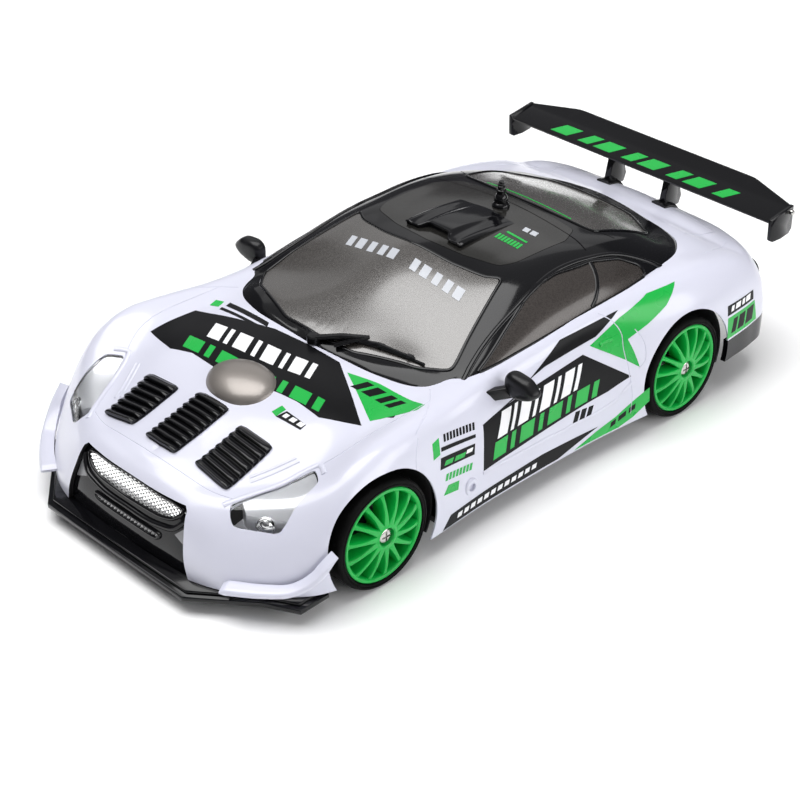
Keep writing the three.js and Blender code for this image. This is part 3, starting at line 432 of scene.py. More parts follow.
class Skin:
    """A smooth outer surface with its normals, for cutting, shading and laying things on."""

    def __init__(self, grid, across=7, up=6):
        self.grid = dense([[Vector(p) for p in column] for column in grid], across, up)
        self.normals = grid_normals(self.grid)
        verts, normals, faces = [], [], []
        for side in (1, -1):
            start = len(verts)
            for column, line in zip(self.grid, self.normals):
                for point, normal in zip(column, line):
                    verts.append(Vector((point.x, point.y * side, point.z)))
                    normals.append(Vector((normal.x, normal.y * side, normal.z)))
            high = len(self.grid[0])
            for i in range(len(self.grid) - 1):
                for j in range(high - 1):
                    a = start + i * high + j
                    quad = (a, a + 1, a + high + 1, a + high)
                    for three in ((quad[0], quad[1], quad[2]), (quad[0], quad[2], quad[3])):
                        faces.append(three if side < 0 else three[::-1])
        self.verts, self.vert_normals, self.faces = verts, normals, faces
        self.tree = BVHTree.FromPolygons(verts, faces)

    def nearest(self, point):
        """The closest surface point, its smooth normal and the distance."""
        where, _, index, distance = self.tree.find_nearest(point)
        return where, self.smooth_normal(where, index), distance

    def smooth_normal(self, where, index):
        """The normal at a point of one triangle, blended from its corners."""
        a, b, c = self.faces[index]
        corners = self.verts[a], self.verts[b], self.verts[c]
        normals = self.vert_normals[a], self.vert_normals[b], self.vert_normals[c]
        return barycentric_transform(where, *corners, *normals).normalized()

    def hit(self, origin, direction):
        """Where a ray meets the surface, and the smooth normal there."""
        where, _, index, _ = self.tree.ray_cast(Vector(origin), Vector(direction))
        if where is None:
            return None
        return where, self.smooth_normal(where, index)

    def drop(self, plane, a, b, side=1):
        """Looks along an axis: from above at (x, y), a side at (x, z) or an end at (y, z)."""
        if plane == "top":
            return self.hit((a, b * side, 100), (0, 0, -1))
        if plane == "side":
            return self.hit((a, 100 * side, b), (0, -side, 0))
        if plane == "front":
            return self.hit((150, a * side, b), (-1, 0, 0))
        return self.hit((-150, a * side, b), (1, 0, 0))

    def solid(self, name, thickness, material, lift=0.0):
        """A closed wall of that thickness, or the filled form when it is 0."""
        verts, faces = [], []
        high = len(self.grid[0])
        count = len(self.grid) * high
        for side in (1, -1):
            start = len(verts)
            outer, inner = [], []
            for column, line in zip(self.grid, self.normals):
                for j, (point, normal) in enumerate(zip(column, line)):
                    raised = point + normal * lift
                    if j == 0:
                        raised.z = point.z
                    raised.y = max(0, raised.y) if point.y > 1e-6 else 0
                    outer.append((raised.x, raised.y * side, raised.z))
                    sunk = point - normal * thickness
                    if j == 0:
                        sunk.z = point.z
                    sunk.y = max(0, sunk.y) if thickness else 0
                    inner.append((sunk.x, sunk.y * side, sunk.z))
            verts += outer + inner
            turn = (lambda q: q) if side > 0 else (lambda q: q[::-1])
            for i in range(len(self.grid) - 1):
                for j in range(high - 1):
                    a = start + i * high + j
                    faces.append(turn((a, a + high, a + high + 1, a + 1)))
                    if thickness:
                        b = a + count
                        faces.append(turn((b, b + 1, b + high + 1, b + high)))
                a = start + i * high
                faces.append(turn((a, a + count, a + high + count, a + high)))
        mesh = bpy.data.meshes.new(name)
        mesh.from_pydata([tuple(c * MM for c in v) for v in verts], [], faces)
        work = bmesh.new()
        work.from_mesh(mesh)
        bmesh.ops.remove_doubles(work, verts=work.verts, dist=2e-6)
        bmesh.ops.dissolve_degenerate(work, edges=work.edges, dist=1e-6)
        bmesh.ops.recalc_face_normals(work, faces=work.faces)
        work.to_mesh(mesh)
        work.free()
        made = add_object(name, mesh, material)
        mesh.shade_smooth()
        return made

    def shade(self, made, reach=0.09, angle=40, inside=None, blur=0):
        """Gives a cut mesh the clean surface's normals, averaged over the blur's width in mm."""
        mesh = made.data
        near = []
        for vertex in mesh.vertices:
            where, normal, distance = self.nearest(vertex.co / MM)
            if blur:
                turns = [k * math.pi / 4 for k in range(8)]
                ring = [Vector((math.cos(a), math.sin(a), 0)) for a in turns]
                around = [where + one * size for size in (blur, blur / 2) for one in ring]
                normal = sum((self.nearest(point)[1] for point in around), normal).normalized()
            near.append(normal if distance < reach else None)
        limit = math.cos(math.radians(angle))
        normals = [None] * len(mesh.loops)
        for face in mesh.polygons:
            flat = face.normal.copy()
            for loop in face.loop_indices:
                smooth = near[mesh.loops[loop].vertex_index]
                good = smooth is not None and smooth.dot(flat) > limit
                normals[loop] = smooth if good else flat
            # Deep faces that turn inwards take this material index, which is near-black painted
            # shade.
            if inside is not None:
                where, normal, distance = self.nearest(face.center / MM)
                if distance > INSIDE_DEPTH and normal.dot(flat) < INSIDE_TURN:
                    face.material_index = inside
        mesh.shade_smooth()
        mesh.normals_split_custom_set(normals)
        return made


# ---- the shell's stations, as in the CAD ----
# From the nose's centre round the left side to the tail's centre. Each row has x, y and z of the
# bottom edge, lower flank, mid flank, shoulder and crest, then the centre line's x and z, and the
# dip inside the crest.
BODY = [
    (95.5, 0, 6, 95.5, 0, 10, 94.2, 0, 16, 92, 0, 21.5, 90, 0, 23.6, 84, 26.2, 0),
    (95.3, 12, 6, 95.3, 12, 10, 94, 12, 16, 91.8, 12, 21.4, 89.8, 11.5, 23.5, 80, 27.6, 0),
    (94.6, 21, 6, 94.6, 21, 10, 93, 21, 16, 90.5, 20.5, 21.3, 88.5, 19.5, 23.3, 76, 28.8, 0),
    (92.5, 28.5, 6, 92.3, 28.5, 10, 90.5, 28, 15.5, 87.5, 27, 20.8, 85.3, 26, 23.2, 72, 30, 0.3),
    (88, 36.5, 6, 87.8, 36.5, 10, 86, 36, 15, 82.8, 34.5, 21, 80, 33, 24.4, 68, 31.2, 0.7),
    (82.5, 43, 6, 82.3, 43, 10, 81, 42.7, 15, 78, 41.6, 21.5, 74.5, 40, 26.2, 64, 32.2, 1.2),
    (77, 47.2, 6, 76.8, 47.4, 10, 76, 47.2, 15.5, 73.5, 46.4, 22.5, 69.5, 44, 29.2, 60, 33, 1.9),
    (71, 49.2, 6, 71, 49.4, 10, 70.5, 49.4, 16.5, 68.5, 48.5, 25.5, 65, 45.2, 32, 55, 33.8, 2.1),
    (64, 50, 6, 64, 50.1, 10, 64, 50.1, 18, 63, 49.2, 28, 60.5, 45.6, 33.8, 50, 34.4, 2),
    (58, 50.2, 6, 58, 50.3, 10, 58, 50.3, 19, 57.5, 49.4, 29.3, 56, 45.7, 34.6, 45, 34.9, 1.7),
    (50, 50.1, 6, 50, 50.2, 10, 50, 50, 19, 50, 48.7, 29, 49.5, 45.2, 34.6, 40, 35.2, 1.3),
    (42, 49.6, 6, 42, 49.7, 10, 42, 49.3, 18.5, 42, 47.6, 28.2, 42, 44.4, 34.2, 36, 35.5, 0.9),
    (34, 48.9, 6, 34, 49, 10, 34, 48.4, 18, 34, 46.5, 27.8, 34, 43.2, 33.9, 30, 36, 0.5),
    (24, 48.2, 6, 24, 48.2, 10, 24, 47.4, 18, 24, 45.4, 28, 24, 41.8, 34.4, 20, 37, 0),
    (12, 47.9, 6, 12, 47.9, 10, 12, 47, 18, 12, 45, 28.5, 12, 41.2, 35.6, 8, 38, 0),
    (-2, 47.8, 6, -2, 47.8, 10, -2, 46.8, 18, -2, 45, 29, -2, 41.2, 36.8, -4, 38.5, 0),
    (-16, 48, 6, -16, 48, 10, -16, 47, 18, -16, 45.2, 29.5, -16, 41.2, 38, -18, 39, 0),
    (-28, 48.7, 6, -28, 48.8, 10, -28, 48.1, 18, -28, 46.4, 29.5, -28, 41.3, 38.4, -30, 39.5, 0),
    (-38, 50, 6.5, -38, 50.1, 10.5, -38, 49.9, 18.5, -38, 48.2, 29.5, -38, 42, 38.2, -42, 40, 0),
    (-50, 50.7, 7.5, -50, 50.8, 11.5, -50, 50.7, 20, -50, 49.3, 30, -50, 43, 37.8, -53, 40.5, 0),
    (-60, 50.6, 8.5, -60, 50.7, 12.5, -60, 50.6, 20, -60, 49, 29.8, -60, 43.5, 36.8, -61, 40.4, 0),
    (-69, 50, 8.5, -69, 50.1, 12.5, -69, 50, 20, -69, 48.4, 28.8, -69, 43.6, 35.2, -67, 39.8, 0),
    (-78, 49.2, 8.5, -78, 49.2, 12.5, -78, 49, 19.5, -78, 47.2, 27.5, -77.5, 43, 33.2, -72, 38.8, 0),
    (-85, 47.3, 8.5, -85.3, 47.3, 12.5, -85.5, 47, 19, -85.5, 45.4, 26, -84, 41.8, 31, -76, 37.7, 0),
    (-88.5, 43, 8.5, -89, 43, 12.5, -89.8, 42.5, 19, -89.5, 40.5, 27, -87, 38, 31.8, -79.5, 36.8, 0),
    (-90.5, 33, 8.5, -91.2, 33, 12.5, -92, 33, 19, -91.5, 31.5, 28.5, -89.3, 30, 32.7, -82.3, 36, 0),
    (-91, 18, 8.5, -91.8, 18, 12.5, -92.6, 18, 19, -92.2, 17.5, 29.5, -90, 17, 33.3, -84.4, 35.5, 0),
    (-91, 0, 8.5, -92, 0, 12.5, -92.8, 0, 19, -92.4, 0, 29.8, -90.2, 0, 33.6, -86, 35.2, 0),
]
# Between the crest and the centre line: share of the way, share of the dip and crown.
TOP_ROWS = [[0.22, 1, 0.3], [0.48, 0.35, 0.5], [0.75, 0, 0.3]]
# Cabin columns from the cowl to the rear window's foot: x, y and z of the rim, belt and roof rail,
# then the ridge's x and z.
CABIN = [
    (37, 0, 31, 36.8, 0, 33.5, 36.5, 0, 34.8, 35, 36.3),
    (36.8, 12, 31, 36.6, 12, 33.5, 36.2, 11.6, 34.8, 30, 38.3),
    (35.2, 24, 31, 35, 24, 33.5, 34.4, 23.4, 34.8, 24, 40.8),
    (31, 33.5, 31, 30.6, 33, 33.5, 29.6, 31.8, 34.9, 18, 43.2),
    (25, 38.6, 31, 24.6, 38, 34, 22, 35, 35.6, 12, 45.6),
    (14, 40.6, 31, 14, 39.6, 35.6, 13, 32.2, 40.2, 6, 47.8),
    (4, 40.9, 31, 4, 39.9, 36.4, 4, 29.3, 44.2, 0, 49.4),
    (-6, 41, 32, -6, 40, 37.2, -5, 27, 47.4, -6, 50.1),
    (-18, 41, 32, -18, 40, 38, -18, 28, 48.1, -18, 50.4),
    (-30, 40.6, 32, -30, 39.8, 38.4, -30, 28.6, 47.7, -30, 49.7),
    (-42, 39.6, 32, -42, 38.8, 38.3, -42, 28.8, 45.9, -42, 48.2),
    (-53, 37.8, 32, -53, 37, 37.9, -53, 28.6, 43, -52, 45.9),
    (-62, 35, 32, -62, 34.2, 37.3, -61, 27.5, 40.2, -60, 43.2),
    (-68.5, 29.5, 32, -68.5, 29.2, 36.8, -67.5, 23, 38.9, -66, 41),
    (-71.6, 15, 32, -71.6, 14.8, 37.4, -70.6, 12, 39.4, -69, 40.2),
    (-72.4, 0, 32, -72.4, 0, 37.6, -71.4, 0, 39.5, -70.3, 39.9),
]


def body_stations():
    """Each station from the bottom edge up and over to the centre line."""
    stations = []
    for *flank, ridge_x, ridge_z, dip in BODY:
        flank = [tuple(flank[k : k + 3]) for k in range(0, 15, 3)]
        crest = flank[-1]
        inside = []
        for t, share, crown in TOP_ROWS:
            x, y, z = (lerp(a, b, t) for a, b in zip(crest, (ridge_x, 0, ridge_z)))
            inside.append((x, y, z - dip * share + crown))
        stations.append([*flank, *inside, (ridge_x, 0, ridge_z)])
    return stations


def cabin_stations():
    stations = []
    for *flank, ridge_x, ridge_z in CABIN:
        flank = [tuple(flank[k : k + 3]) for k in range(0, 9, 3)]
        rail = flank[-1]
        roof = []
        for t in (0.35, 0.7):
            x, y, z = (lerp(a, b, t) for a, b in zip(rail, (ridge_x, 0, ridge_z)))
            roof.append((x, y, z + 2.2 * t * (1 - t)))
        stations.append([*flank, *roof, (ridge_x, 0, ridge_z)])
    return stations


BODY_SKIN = Skin(body_stations())
CABIN_SKIN = Skin(cabin_stations(), 8, 7)


# ---- body shell ----
def rod(name, axis, start, length, radius, sides=32):
    """A plain cylinder, for cutting."""
    profile = [(0, 0), (radius, 0), (radius, length), (0, length)]
    return turned(name, profile, axis, start, sides=sides)


def arch_rod(x, y, radius=ARCH_R):
    """A cylinder round one axle, 30 mm long from that y, to cut a wheel arch."""
    return rod("arch", "y", (x, y, AXLE_Z), 30, radius, sides=96)


def on_skin(skin, plane, points, side=1, pitch=0.8, close=False):
    """Points along a line drawn on the skin, with their normals."""
    found = [skin.drop(plane, a, b, side) for a, b in stepped(points, pitch, close)]
    return [one for one in found if one]


def tube(name, path, radius, material=None, sides=8, close=False, sink=0.0, flat=1.0):
    """A tube along (point, normal) pairs, sunk below the surface by that depth."""
    verts = []
    count = len(path)
    for i, (point, normal) in enumerate(path):
        before = path[i - 1][0] if i or close else point
        after = path[(i + 1) % count][0] if i + 1 < count or close else point
        ahead = (after - before).normalized()
        across = ahead.cross(normal).normalized()
        out = across.cross(ahead).normalized()
        for s in range(sides):
            angle = 2 * math.pi * s / sides
            rise = math.sin(angle) * radius * flat - sink
            verts.append(tuple(point + (across * math.cos(angle) * radius + out * rise)))
    faces = between(count, sides, close=close)
    if not close:
        faces.append(tuple(range(sides)))
        faces.append(tuple(range((count - 1) * sides, count * sides)))
    return shape(name, verts, faces, material or NYLON)


def spline(points, parts=6):
    """A smooth 2-D line through the points."""
    line = refine([Vector((a, b, 0)) for a, b in points], parts)
    return [(p.x, p.y) for p in line]


# Seams on the body, as (x, z) on the sides and (x, y) on top.
DOOR_REAR = [
    (-22.4, 37.9), (-25.4, 35.6), (-27.4, 32), (-27.2, 28), (-28.4, 22), (-29.4, 15.5), (-29.2, 9),
]
SCALLOP = [(-31.8, 31.7), (-33.3, 29), (-33.9, 26), (-33.6, 23), (-31.6, 21.1)]
COWL_SEAM = [(29.4, 34.6), (33, 38.2), (38.5, 42.2), (44.8, 45.4)]
FENDER_SEAM = [(44.6, 32.9), (46.6, 30.5), (47.6, 28.4), (48, 26.6)]
BONNET_FRONT = [
    (82.6, 26.6), (84.6, 20), (85.6, 10), (85.8, 0), (85.6, -10), (84.6, -20), (82.6, -26.6),
]
BONNET_SIDE = [(66.2, 34.9), (60, 37.6), (50, 38.6), (40, 38.4), (33, 38.2)]
BOOT_SIDE = [(-75.4, 26.2), (-80, 27), (-86.5, 28.6)]
BOOT_REAR = [(-86.5, 28.6), (-87.6, 15), (-87.8, 0), (-87.6, -15), (-86.5, -28.6)]
REAR_FENDER = [(-70, 37.5), (-76.5, 36.4), (-84.6, 33.8)]


def seam_cutters():
    """Thin tubes along the panel seams, to cut grooves with."""
    lines = []
    for side in (1, -1):
        for points in (DOOR_REAR, SCALLOP, FENDER_SEAM):
            lines.append(on_skin(BODY_SKIN, "side", spline(points), side))
        for points in (COWL_SEAM, BONNET_SIDE, BOOT_SIDE, REAR_FENDER):
            lines.append(on_skin(BODY_SKIN, "top", spline(points), side))
    for points in (BONNET_FRONT, BOOT_REAR):
        lines.append(on_skin(BODY_SKIN, "top", spline(points)))
    return [tube("seam", line, 0.2, sides=6, sink=-0.06) for line in lines if len(line) > 2]


# Openings in the shell: (y, z) from the front, (x, y) from above and (x, z) from a side.
GRILLE_MOUTH = [(-22.8, 5), (22.8, 5), (18.9, 22.2), (-18.9, 22.2)]
LAMP = [(84.4, 26.2), (86.6, 29.4), (80.6, 39.2), (68.8, 39.2), (66, 34.9)]
VALANCE = [(-100, 0), (-60, 0), (-60, 16), (-100, 16.8)]
TAIL_LAMPS = [(36.5, 23), (26.5, 23.5)]
SCREW = (28.9, 13.5)


def resized(outline, grow):
    """The outline moved outwards by that many millimetres."""
    area = sum(a[0] * b[1] - b[0] * a[1] for a, b in zip(outline, outline[1:] + outline[:1]))
    turn = 1 if area > 0 else -1
    made = []
    for i, here in enumerate(outline):
        back, ahead = outline[i - 1], outline[(i + 1) % len(outline)]
        sides = []
        for a, b in ((back, here), (here, ahead)):
            reach = math.dist(a, b) or 1
            sides.append(((b[1] - a[1]) / reach * turn, (a[0] - b[0]) / reach * turn))
        (ax, ay), (bx, by) = sides
        share = grow / max(1 + ax * bx + ay * by, 0.35)
        made.append((here[0] + (ax + bx) * share, here[1] + (ay + by) * share))
    return made


def cut_shell():
    """The painted shell, with its openings and seams."""
    # The shell's inner faces take the near-black painted shade material.
    shell = BODY_SKIN.solid("body_shell_paint", 1.3, [WHITE, INNER_SHADE])
    cabin = CABIN_SKIN.solid("cabin_cutter", 0, NYLON, lift=0.12)
    boolean(shell, cabin)
    for x in (FRONT_AXLE_X, REAR_AXLE_X):
        for y in (30, -60):
            boolean(shell, arch_rod(x, y))
            thin = BODY_SKIN.solid("thin_edge", 0, NYLON, lift=-0.45)
            boolean(thin, arch_rod(x, y, ARCH_R + 1.2), "INTERSECT")
            boolean(shell, thin)
    boolean(shell, prism("mouth", smoothed(GRILLE_MOUTH, 1), "yz", 84, 110))
    for side in (1, -1):
        lamp = [(x, y * side) for x, y in LAMP]
        boolean(shell, prism("socket", smoothed(lamp), "xy", 18, 40))
    boolean(shell, prism("valance_line", VALANCE, "xz", -60, 60))
    for y, z in TAIL_LAMPS:
        for side in (1, -1):
            boolean(shell, rod("lamp_hole", "x", (-99, y * side, z), 14, 3.75, sides=40))
    for y in (40, -60):
        boolean(shell, rod("screw_hole", "y", (SCREW[0], y, SCREW[1]), 20, 1.7))
    for cutter in seam_cutters():
        boolean(shell, cutter)
    BODY_SKIN.shade(shell, inside=1)
    return ride(shell, replaces=["body_shell"])


cut_shell()


# ---- cabin and glass ----
SCREEN = [
    (33.6, 0), (33.0, 12), (27.2, 28.2), (21.6, 33.2), (20, 33.2), (-4.4, 25.2), (-2.2, 22),
    (-0.4, 12), (0.2, 0),
]
BACKLIGHT = [(-39.6, 0), (-40.1, 12), (-41.6, 22.6), (-60, 25.6), (-66, 15), (-67, 0)]
ROOF_TOP = [
    (-3.2, 0), (-4.6, 12), (-7.6, 21.6), (-12, 23.4), (-30, 23.6), (-37.2, 20), (-38.0, 12),
    (-38.2, 0),
]
SIDE_GLASS = [
    (17.6, 35.9), (-23, 38.9), (-44.2, 39.0), (-44.6, 41.0), (-39, 44.0), (-30, 45.9), (-18, 46.5),
    (-9.5, 45.9), (-6, 44.9),
]
ROOF_SEAM = [(-22.4, 38.6), (-25, 40.4), (-27.6, 42.5), (-30, 45.3), (-31.6, 46.6)]
ROOF_SEAM_TOP = [
    (-31.6, 29), (-33.2, 23), (-34.3, 12), (-34.9, 0), (-34.3, -12), (-33.2, -23), (-31.6, -29),
]
REAR_SEAM = [
    (-44.5, 27.5), (-42.3, 23.2), (-40.3, 17), (-38.9, 9), (-38.2, 0), (-38.9, -9), (-40.3, -17),
    (-42.3, -23.2), (-44.5, -27.5),
]


def whole(half):
    """A half outline and its mirror image across the centre line."""
    return half + [(a, -b) for a, b in half[-2:0:-1]]


WINDOWS = {
    "windscreen_film": "windscreen",
    "rear_window_film": "rear_window",
    "side_film_left": "side_window_left",
    "side_film_right": "side_window_right",
}


def cut_cabin():
    """The black cabin, with film panes and a roof panel let into it."""
    # The cabin's inner faces take the near-black painted shade material.
    cabin = CABIN_SKIN.solid("cabin_gloss", 1.2, [BLACK, INNER_SHADE])
    film = CABIN_SKIN.solid("film_source", 1.2, FILM, lift=0.05)
    outlines = {
        "windscreen_film": (smoothed(whole(SCREEN)), "xy", 30, 60),
        "rear_window_film": (smoothed(whole(BACKLIGHT)), "xy", 30, 60),
        "roof_panel": (smoothed(whole(ROOF_TOP)), "xy", 30, 60),
        "side_film_left": (smoothed(SIDE_GLASS), "xz", 25, 45),
        "side_film_right": (smoothed(SIDE_GLASS), "xz", -45, -25),
    }
    made = {}
    for name, (outline, plane, low, high) in outlines.items():
        boolean(cabin, prism("opening", outline, plane, low, high))
        pane = film.copy()
        pane.data = film.data.copy()
        pane.name = name
        scene.collection.objects.link(pane)
        boolean(pane, prism("trim", resized(outline, -0.12), plane, low, high), "INTERSECT")
        # Side panes take the darker film, which carries painted shade.
        if name.startswith("side"):
            pane.data.materials[0] = SHADED_SIDE_FILM
        if name == "roof_panel":
            pane.data.materials[0] = ROOF
        made[name] = pane
    bpy.data.objects.remove(film)
    seams = [("top", ROOF_SEAM_TOP, 1), ("top", REAR_SEAM, 1)]
    seams += [("side", ROOF_SEAM, 1), ("side", ROOF_SEAM, -1)]
    for plane, points, side in seams:
        groove = tube("seam", on_skin(CABIN_SKIN, plane, spline(points), side), 0.22, sides=6)
        boolean(cabin, groove, keep=True)
        for pane in made.values():
            boolean(pane, groove, keep=True)
        bpy.data.objects.remove(groove)
    CABIN_SKIN.shade(cabin, inside=1)
    for name, pane in made.items():
        CABIN_SKIN.shade(pane, blur=7 if name == "windscreen_film" else 0)
    ride(cabin, replaces=["cabin_shell"])
    ride(made["roof_panel"])
    for name, replaced in WINDOWS.items():
        ride(made[name], replaces=[replaced])


cut_cabin()


# ---- livery: thin stickers that follow the skin ----
class Livery:
    """Collects stickers of one colour into one piece."""

    def __init__(self, name, material, lift, depth=0.05):
        self.name, self.material = name, material
        self.lift, self.depth = lift, depth
        self.verts, self.faces = [], []

    def add(self, skin, plane, outline, side=1, pitch=1.1):
        """One sticker: the outline is cut into small squares, which drop onto the skin."""
        work = bmesh.new()
        work.faces.new([work.verts.new((a, b, 0)) for a, b in outline])
        bmesh.ops.triangulate(work, faces=work.faces[:])
        for axis in (0, 1):
            low = min(point[axis] for point in outline)
            high = max(point[axis] for point in outline)
            across = Vector((1 - axis, axis, 0))
            for k in range(1, math.ceil((high - low) / pitch)):
                everything = work.verts[:] + work.edges[:] + work.faces[:]
                place = across * (low + k * pitch)
                bmesh.ops.bisect_plane(work, geom=everything, plane_co=place, plane_no=across)
        missed = []
        top, low = {}, {}
        for vert in work.verts:
            found = skin.drop(plane, vert.co.x, vert.co.y, side)
            if found is None:
                missed.append(vert)
                continue
            where, normal = found
            top[vert] = where + normal * self.lift
            low[vert] = where - normal * self.depth
        bmesh.ops.delete(work, geom=missed, context="VERTS")
        number = {}
        for vert in work.verts:
            number[vert] = len(self.verts)
            self.verts.append(tuple(top[vert]))
            self.verts.append(tuple(low[vert]))
        for face in work.faces:
            ring = [number[v] for v in face.verts]
            a, b, c = (Vector(self.verts[k]) for k in ring[:3])
            out = Vector(self.verts[ring[0]]) - Vector(self.verts[ring[0] + 1])
            if (b - a).cross(c - a).dot(out) < 0:
                ring.reverse()
            self.faces.append(tuple(ring))
            self.faces.append(tuple(k + 1 for k in reversed(ring)))
        for edge in work.edges:
            if len(edge.link_faces) == 1:
                a, b = (number[v] for v in edge.verts)
                self.faces.append((a, b, b + 1, a + 1))
        work.free()

    def mesh(self):
        return shape(self.name, self.verts, self.faces, self.material)

    def build(self, skin, cutters):
        made = self.mesh()
        for cutter in cutters:
            boolean(made, cutter, keep=True)
        skin.shade(made, reach=0.3, angle=50)
        ride(made)


def bars(start, end, height, cells, slant=0.3):
    """Slanted bars along a line: cells are the (start, end) shares of its length.

    They stand for the printed words, so no bar is a letter.
    """
    ahead = Vector(end) - Vector(start)
    along = ahead.normalized()
    up = Vector((-along.y, along.x)) * height
    if abs(along.x) > 0.8 and up.y < 0:
        up = -up
    up -= along * (height * slant)
    made = []
    for low, high in cells:
        a, b = Vector(start) + ahead * low, Vector(start) + ahead * high
        made.append([tuple(a), tuple(b), tuple(b + up), tuple(a + up)])
    return made


def even_cells(count, wide):
    return [(k / count, k / count + wide) for k in range(count)]


BOLD = [
    (0, 0.12), (0.16, 0.2), (0.25, 0.38), (0.43, 0.47), (0.52, 0.65), (0.7, 0.74), (0.79, 0.91),
    (0.95, 1),
]
EVEN = even_cells(8, 0.085)
FINE = even_cells(10, 0.065)
SILL_CELLS = even_cells(12, 0.055)
THREE_CELLS = [(0, 0.26), (0.36, 0.64), (0.74, 1)]
QUARTER_CELLS = [(0, 0.2), (0.28, 0.56), (0.64, 1)]
TAG_CELLS = [(0.02, 0.14), (0.22, 0.44), (0.52, 0.64), (0.7, 0.92)]
CORNER_CELLS = [(0, 0.18), (0.27, 0.5), (0.62, 0.78), (0.86, 1)]
BANNER_CELLS = [(k / 11, k / 11 + (0.05 if k % 3 else 0.062)) for k in range(11) if k != 5]

# Plain blocks of colour: (x, z) on the sides and (x, y) on the bonnet.
DOOR_BLACK = [
    (22.6, 26.8), (15.0, 28.2), (-13.9, 30.8), (-29.3, 19.8), (-21.3, 18.2), (24.0, 15.3),
]
ARROW = [(5.3, 31.1), (-0.8, 32.4), (-19.1, 33.6), (-25.2, 35.7), (-28.7, 37.0), (-7.8, 36.4)]
SLIVER = [(16.6, 27.9), (8.6, 29.6), (6.2, 29.4)]
SILL_BLACK = [(39.2, 6.2), (36.4, 9.4), (2.9, 10.6), (-17.4, 9.8), (-3.0, 6.6)]
STACK_BOX = [(38.8, 25.7), (26.2, 23.7), (26.8, 21.1), (39.5, 23.0)]
QUARTER_TAG = [(-66.0, 26.4), (-79.5, 25.6), (-79.0, 23.3), (-65.8, 23.6)]
CHEVRON_TOP = [
    (-50, 37.4), (-39.5, 37.6), (-28, 35.4), (-16.6, 32.1), (-22.6, 28.2), (-28.6, 29.8),
    (-36.2, 31.8), (-43.5, 34.1),
]
CHEVRON_LOW = [(-22.6, 28.2), (-27.4, 25), (-32, 21.5), (-30.3, 26.4), (-28.9, 30.2)]
SILL_GREEN = [
    (-35.2, 14.6), (-35.4, 10.6), (-30, 7.6), (-25, 6.4), (-9, 6.4), (-17, 8.6), (-24, 10.2),
]
STACK_GREEN = [(40.6, 29.9), (38.0, 30.2), (38.8, 26.6), (41.4, 26.4)]
QUARTER_GREEN = [(-66.0, 22.9), (-79.6, 22.7), (-80.4, 16.9), (-66.0, 16.8)]
HOOD_BLACK = [
    (57.7, -35.2), (44.4, -33.7), (37.9, -10.8), (37.0, 0.1), (37.4, 12.1), (50.9, 34.0),
    (55.8, 24.8), (55.2, 16.8), (55.6, 11.1), (58.4, -10.3), (58.0, -18.4), (59.7, -24.9),
]
HOOD_GREEN = [(39.1, 16.6), (36.6, 25), (35, 38.6), (38.0, 39.0), (48.3, 34.1)]


# What goes on the body in each colour, from the bottom layer up: the view and the outlines.
ON_BODY = {
    "livery_black": [
        ("side", [DOOR_BLACK, ARROW, SLIVER, SILL_BLACK, STACK_BOX, QUARTER_TAG]),
        ("top", [HOOD_BLACK]),
        ("side", bars((36.6, 28.6), (25.2, 26.8), 1.7, FINE, -0.1)),
        ("side", [[(38.0, 27.9), (25.6, 25.8), (25.7, 25.0), (38.2, 27.0)]]),
        ("side", bars((-8.4, 14.4), (-14.9, 13.8), 2.7, THREE_CELLS, -0.4)),
        ("top", [[(38.6, -12.9), (36.9, -14.2), (36.0, -30.2), (37.9, -29.6)]]),
        ("top", [[(40.4, -13.2), (39.4, -13.0), (39.0, -29.9), (40.2, -29.4)]]),
        ("top", [[(46.6, 32.2), (44.2, 31.9), (41.4, 36.2), (43.8, 37.2)]]),
        ("top", [[(61.4, 16.2), (58.8, 17.2), (59.2, 24.2), (61.0, 24.2)]]),
    ],
    "livery_green": [
        ("side", [CHEVRON_TOP, CHEVRON_LOW, SILL_GREEN, STACK_GREEN, QUARTER_GREEN]),
        ("side", bars((20.4, 16.6), (-17.4, 18.5), 4.1, BOLD, -0.35)),
        ("side", bars((38.0, 19.4), (27.9, 17.7), 1.7, EVEN, -0.2)),
        ("side", [[(38.9, 16.0), (37.0, 17.9), (33.0, 17.2), (33.6, 15.0)]]),
        ("side", bars((38.0, 23.4), (30.5, 22.2), 1.1, [(0, 0.4), (0.5, 1)], -0.6)),
        ("top", [HOOD_GREEN]),
        ("top", [[(40.2, -33.2), (37.3, -34.2), (36.6, -31.8), (39.4, -30.8)]]),
        ("top", [[(60.9, 14.2), (58.2, 14.8), (58.6, 16.6), (61.4, 16.2)]]),
        ("top", bars((57.6, -22.6), (54.6, 23.4), 4.0, BOLD, 0.4)),
    ],
    "livery_white": [
        ("side", bars((18.4, 21.4), (-10.6, 22.9), 5.9, BOLD, -0.5)),
        ("side", bars((34.0, 7.2), (4.5, 7.9), 1.3, SILL_CELLS, -0.3)),
        ("side", bars((-67.2, 24.3), (-78.0, 24.0), 1.4, TAG_CELLS, -0.4)),
        ("side", bars((29.8, 22.6), (27.6, 22.3), 0.9, [(0, 1)], -0.5)),
        ("top", bars((51.6, -20.6), (47.4, 12.4), 6.0, BOLD, 0.4)),
        ("top", bars((60.6, 17.4), (60.4, 23.8), 1.2, [(0, 0.2), (0.35, 0.6), (0.75, 1)], -0.2)),
    ],
    "livery_black_marks": [
        ("top", bars((42.6, 21.4), (41.4, 33.4), 4.2, CORNER_CELLS, -0.4)),
        ("side", bars((-67.6, 17.9), (-78.0, 18.0), 3.9, QUARTER_CELLS, -0.3)),
        ("side", bars((-22, 7.6), (-31, 10.2), 1.4, [(0, 0.2), (0.3, 0.6), (0.7, 0.95)], -0.4)),
    ],
}
